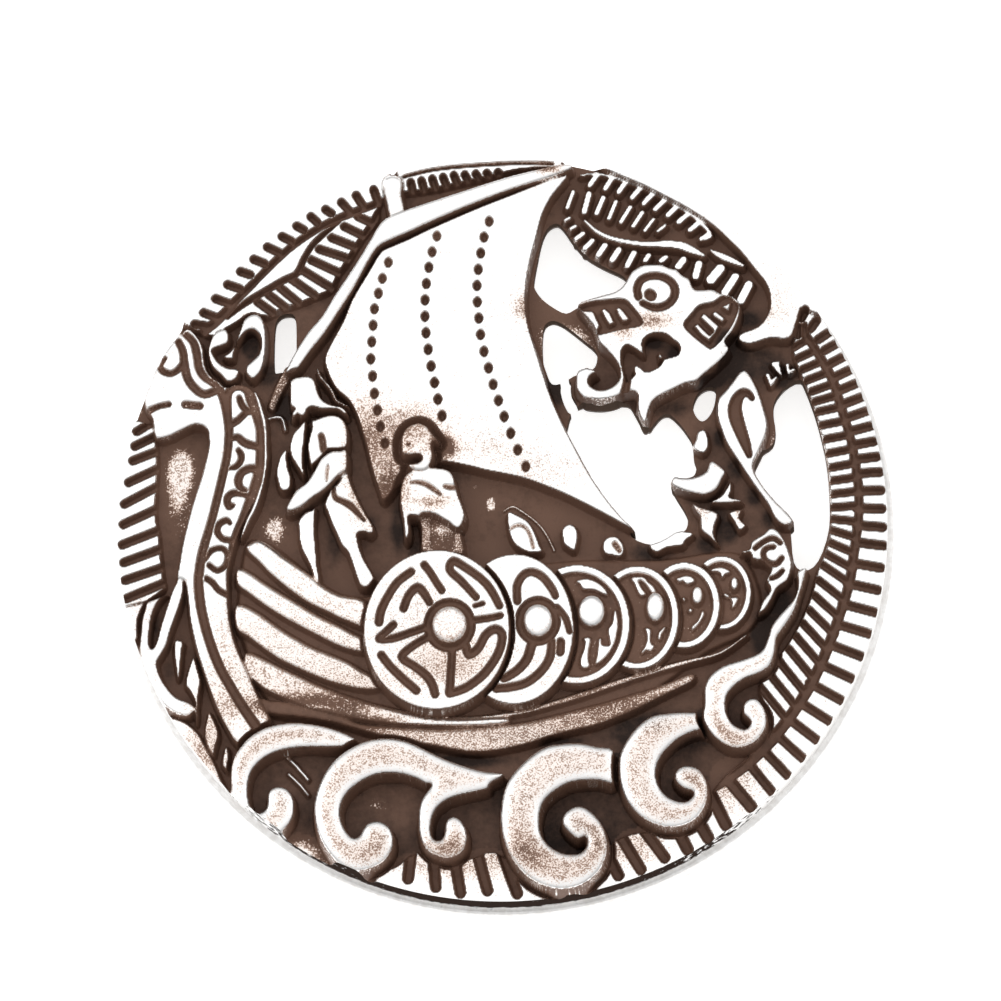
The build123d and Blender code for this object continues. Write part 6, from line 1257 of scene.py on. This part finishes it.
class Paint:
    """A procedural material with one shader, and short ways to add nodes to it."""

    def __init__(self, name):
        self.material = bpy.data.materials.new(name)
        self.material.use_nodes = True
        tree = self.material.node_tree
        tree.nodes.clear()
        self.nodes = tree.nodes
        self.links = tree.links
        self.shader = self.nodes.new("ShaderNodeBsdfPrincipled")
        out = self.nodes.new("ShaderNodeOutputMaterial")
        self.links.new(self.shader.outputs["BSDF"], out.inputs["Surface"])
        self.place = self.nodes.new("ShaderNodeTexCoord").outputs["Object"]

    def give(self, socket, value):
        """Sets a socket to a number or colour, or links it to another node's output."""
        if isinstance(value, bpy.types.NodeSocket):
            self.links.new(value, socket)
        else:
            socket.default_value = value

    def shade(self, name, value):
        """Gives one of the shader's own sockets its value."""
        self.give(self.shader.inputs[name], value)

    def attribute(self, name):
        """A value kept at the piece's points."""
        node = self.nodes.new("ShaderNodeAttribute")
        node.attribute_name = name
        return node.outputs["Fac"]

    def axes(self):
        """The place on the piece as its three sockets x, y, z."""
        node = self.nodes.new("ShaderNodeSeparateXYZ")
        self.links.new(self.place, node.inputs["Vector"])
        return node.outputs

    def noise(self, scale, detail, roughness=0.5, place=None):
        """Soft noise, on the piece's own coordinates unless others are given."""
        node = self.nodes.new("ShaderNodeTexNoise")
        node.inputs["Scale"].default_value = scale
        node.inputs["Detail"].default_value = detail
        node.inputs["Roughness"].default_value = roughness
        self.links.new(self.place if place is None else place, node.inputs["Vector"])
        return node.outputs["Fac"]

    def maths(self, operation, first, second, clamp=False):
        """One step of arithmetic on two values."""
        node = self.nodes.new("ShaderNodeMath")
        node.operation = operation
        node.use_clamp = clamp
        self.give(node.inputs[0], first)
        self.give(node.inputs[1], second)
        return node.outputs[0]

    def swing(self, value, width):
        """A value around a half, as one around zero with another width."""
        return self.maths("MULTIPLY", self.maths("SUBTRACT", value, 0.5), width)

    def spread(self, value, low, high, to_low=0.0, to_high=1.0):
        """A soft turn from one value at low to another at high."""
        node = self.nodes.new("ShaderNodeMapRange")
        node.interpolation_type = "SMOOTHSTEP"
        self.links.new(value, node.inputs["Value"])
        ends = (("From Min", low), ("From Max", high), ("To Min", to_low), ("To Max", to_high))
        for socket, number in ends:
            node.inputs[socket].default_value = number
        return node.outputs["Result"]

    def mix(self, amount, first, second, blend="MIX"):
        """Two colours mixed, or the first one multiplied by the second."""
        node = self.nodes.new("ShaderNodeMix")
        node.data_type = "RGBA"
        node.blend_type = blend
        self.give(node.inputs["Factor"], amount)
        self.give(node.inputs[6], first)
        self.give(node.inputs[7], second)
        return node.outputs[2]

    def colours(self, value, stops):
        """The colour that belongs to a value, between the stops given."""
        node = self.nodes.new("ShaderNodeValToRGB")
        self.links.new(value, node.inputs["Fac"])
        while len(node.color_ramp.elements) < len(stops):
            node.color_ramp.elements.new(0.5)
        for element, (position, colour) in zip(node.color_ramp.elements, stops):
            element.position = position
            element.color = colour
        return node.outputs["Color"]

    def bump(self, level, strength):
        """Fine roughness too small for the mesh."""
        node = self.nodes.new("ShaderNodeBump")
        node.inputs["Strength"].default_value = strength
        node.inputs["Distance"].default_value = 0.04 * mm
        self.links.new(level, node.inputs["Height"])
        self.shade("Normal", node.outputs["Normal"])


def cast_silver():
    """Silver plate worn bright on the highs, with a brown-black stain left in the recesses, painted darker as
    shade in deep corners.
    """
    coat = Paint("antiqued_silver")
    maths, swing, spread = coat.maths, coat.swing, coat.spread
    grains = coat.noise(10500, 1.5, 0.7)
    patches = coat.noise(2300, 2.0, 0.6)
    clouds = coat.noise(300, 3.0, 0.5)

    # The stain lies deep down and on steep walls, and the grains of the casting break up its edge; its depth
    # also holds one patch of painted shade
    steepness = coat.attribute("steepness")
    depth = maths("MULTIPLY", coat.attribute("stain_and_shade_depth"), 2.0)
    rough_depth = maths("ADD", depth, maths("ADD", swing(grains, 1.8), swing(patches, 0.5)))
    rough_depth = maths("ADD", rough_depth, spread(steepness, 1.5, 6.0, 0.0, 0.5))
    deep_or_steep = maths("ADD", depth, spread(steepness, 1.2, 4.0, 0.0, 0.8))
    stain = maths("MINIMUM", spread(rough_depth, 0.12, 0.62), spread(deep_or_steep, 0.0, 0.8, 0.47, 1.0))
    shown = coat.colours(stain, [
        (0.0, (0.93, 0.92, 0.91, 1)), (0.35, (0.8, 0.74, 0.7, 1)),
        (0.6, (0.36, 0.27, 0.22, 1)), (0.9, (0.12, 0.075, 0.055, 1)),
    ])

    # Painted shade: the stain is made nearly black in deep corners and lighter in open places, and it is
    # uneven everywhere
    uneven = maths("ADD", swing(clouds, 1.1), swing(patches, 0.9))
    shade_and_mottle = maths("ADD", spread(coat.attribute("hollow"), 1.2, 2.8), uneven, clamp=True)
    darker = coat.mix(shade_and_mottle, (1.7, 1.7, 1.72, 1), (0.3, 0.28, 0.28, 1))
    warm = coat.mix(spread(depth, 0.02, 0.5), (1, 1, 1, 1), (0.8, 0.7, 0.64, 1))
    tinted = coat.mix(stain, shown, darker, "MULTIPLY")
    coat.shade("Base Color", coat.mix(1.0, tinted, warm, "MULTIPLY"))
    coat.shade("Metallic", spread(stain, 0.3, 0.9, 1.0, 0.0))
    coat.shade("Specular IOR Level", spread(stain, 0.3, 0.9, 0.5, 0.2))
    coat.shade("Roughness", maths("ADD", spread(stain, 0.0, 1.0, 0.3, 0.55), swing(clouds, 0.15)))
    coat.bump(maths("ADD", grains, maths("MULTIPLY", patches, 0.8)), 0.35)
    return coat.material


def back_silver():
    """The walls, the lip and the back: bright on the lip, stained high on the walls, dull in the hollow."""
    coat = Paint("walls_and_back_silver")
    maths, spread = coat.maths, coat.spread

    # Places in metres: how far out from the middle, up the mast and off the table
    axes = coat.axes()
    across, along, level = axes["X"], axes["Y"], axes["Z"]
    squares = maths("ADD", maths("MULTIPLY", across, across), maths("MULTIPLY", along, along))
    outside = spread(maths("POWER", squares, 0.5), 0.0212, 0.0214)
    grain = coat.noise(2600, 3)

    # The outer wall is stained above the lip, at the foot and at the top of the picture
    rough_height = maths("ADD", level, maths("MULTIPLY", grain, 0.0008))
    patchy = maths("ADD", along, maths("MULTIPLY", grain, 0.014))
    at_foot = spread(patchy, -0.0095, -0.0115)
    at_top = maths("MULTIPLY", spread(patchy, 0.008, 0.0105), spread(rough_height, 0.0041, 0.0035))
    where = maths("MAXIMUM", maths("SUBTRACT", 1.0, outside), maths("MAXIMUM", at_foot, at_top))
    stained = maths("MULTIPLY", spread(rough_height, 0.0022, 0.0025), where)
    worn = coat.mix(spread(grain, 0.3, 0.7), (0.82, 0.8, 0.78, 1), (0.95, 0.94, 0.93, 1))
    cast = coat.mix(spread(grain, 0.32, 0.66), (0.2, 0.17, 0.15, 1), (0.55, 0.53, 0.5, 1))
    inner = coat.mix(spread(level, 0.00185, 0.0019), cast, (0.1, 0.07, 0.055, 1))
    edge = coat.mix(stained, worn, (0.035, 0.024, 0.02, 1))
    coat.shade("Base Color", coat.mix(outside, inner, edge))
    coat.shade("Metallic", maths("MULTIPLY", maths("SUBTRACT", 1.0, stained), 0.55))
    coat.shade("Specular IOR Level", maths("SUBTRACT", 0.5, maths("MULTIPLY", stained, 0.5)))
    coat.shade("Roughness", 0.42)
    coat.bump(grain, 0.3)
    return coat.material


def pin_steel():
    """Drawn steel wire with fine marks along it."""
    wire = Paint("pin_steel")
    drawn = wire.nodes.new("ShaderNodeMapping")
    drawn.inputs["Scale"].default_value = (120, 5000, 5000)
    wire.links.new(wire.place, drawn.inputs["Vector"])
    marks = wire.noise(1, 3, place=drawn.outputs["Vector"])
    greys = [(0.0, (0.42, 0.42, 0.42, 1)), (1.0, (0.68, 0.68, 0.67, 1))]
    wire.shade("Base Color", wire.colours(marks, greys))
    wire.shade("Metallic", 1.0)
    wire.shade("Roughness", 0.3)
    return wire.material


def floor_paint():
    """Plain pale paper."""
    paper = Paint("pale_paper")
    paper.shade("Base Color", (0.95, 0.95, 0.95, 1))
    paper.shade("Emission Color", (1, 1, 1, 1))
    paper.shade("Emission Strength", 0.6)
    paper.shade("Roughness", 0.9)
    paper.shade("Specular IOR Level", 0.1)
    return paper.material


face_sheet = build_face()
settle_sheet(face_sheet)
bright = cast_silver()
dull_back = back_silver()
brooch_pieces = []
for piece_name, side_x, side_y in (
    ("face_upper_right", 1, 1), ("face_upper_left", -1, 1),
    ("face_lower_left", -1, -1), ("face_lower_right", 1, -1),
):
    face_piece = new_piece(piece_name, quarter(face_sheet, side_x, side_y), bright)
    finish_face_piece(face_piece)
    brooch_pieces.append(face_piece)
brooch_pieces.append(new_piece("walls_and_back", build_back(face_sheet), dull_back))
brooch_pieces.append(new_piece("lug_and_catch", build_fittings(), dull_back))
face_sheet.free()
for piece in brooch_pieces:
    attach(piece, "root")
    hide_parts("plate")

cad_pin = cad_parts["pin"]
cad_pin.data.materials.clear()
cad_pin.data.materials.append(pin_steel())


def build_stage():
    """A wide sheet of pale paper and soft lights all round."""
    sheet = bmesh.new()
    bmesh.ops.create_grid(sheet, x_segments=1, y_segments=1, size=1.5)
    floor = new_piece("paper", sheet, floor_paint())
    world = bpy.data.worlds.new("studio")
    bpy.context.scene.world = world
    world.use_nodes = True
    sky, ties = world.node_tree.nodes, world.node_tree.links
    sky["Background"].inputs["Color"].default_value = (1, 1, 1, 1)
    facing = sky.new("ShaderNodeTexCoord")
    parts = sky.new("ShaderNodeSeparateXYZ")
    fade = sky.new("ShaderNodeMapRange")
    fade.interpolation_type = "SMOOTHSTEP"
    ties.new(facing.outputs["Generated"], parts.inputs["Vector"])
    ties.new(parts.outputs["Z"], fade.inputs["Value"])
    for socket, number in (("From Min", 0.1), ("From Max", 0.85), ("To Min", 0.3), ("To Max", 0.95)):
        fade.inputs[socket].default_value = number
    ties.new(fade.outputs["Result"], sky["Background"].inputs["Strength"])
    for name, place, size, power in (
        ("top_softbox", (-0.05, 0.12, 0.5), 0.5, 0.3),
        ("left_softbox", (-0.45, 0.1, 0.35), 0.35, 0.5),
        ("right_softbox", (0.45, 0.2, 0.35), 0.35, 0.3),
    ):
        lamp = bpy.data.lights.new(name, "AREA")
        lamp.size = size
        lamp.energy = power
        holder = bpy.data.objects.new(name, lamp)
        holder.location = place
        holder.rotation_euler = (-Vector(place)).to_track_quat("-Z", "Y").to_euler()
        bpy.context.scene.collection.objects.link(holder)


def place_camera():
    """The camera of the photo, leaning 14.5 degrees back from straight above."""
    tilt = math.radians(14.5)
    turn_x, turn_y = 0.177, 0.984
    lean = Vector((turn_x, -turn_y, 0)).normalized()
    across = Vector((turn_y, turn_x, 0)).normalized()
    down_slope = lean * math.cos(tilt) - Vector((0, 0, math.sin(tilt)))
    towards = lean * math.sin(tilt) + Vector((0, 0, math.cos(tilt)))
    right = across * turn_y + down_slope * turn_x
    up = across * turn_x - down_slope * turn_y
    lens, sensor, shown = 400.0, 36.0, 0.0579
    away = shown * lens / sensor
    target = Vector((0, 0, (foot + read_height) * mm)) - right * 0.00025 + up * 0.00171
    camera = bpy.data.cameras.new("camera")
    camera.lens = lens
    camera.sensor_width = sensor
    camera.clip_start = 0.01
    holder = bpy.data.objects.new("camera", camera)
    turn = Matrix((right, up, towards)).transposed().to_4x4()
    holder.matrix_world = Matrix.Translation(target + towards * away) @ turn
    bpy.context.scene.collection.objects.link(holder)
    bpy.context.scene.camera = holder


build_stage()
place_camera()
bpy.context.scene.view_settings.view_transform = "Standard"
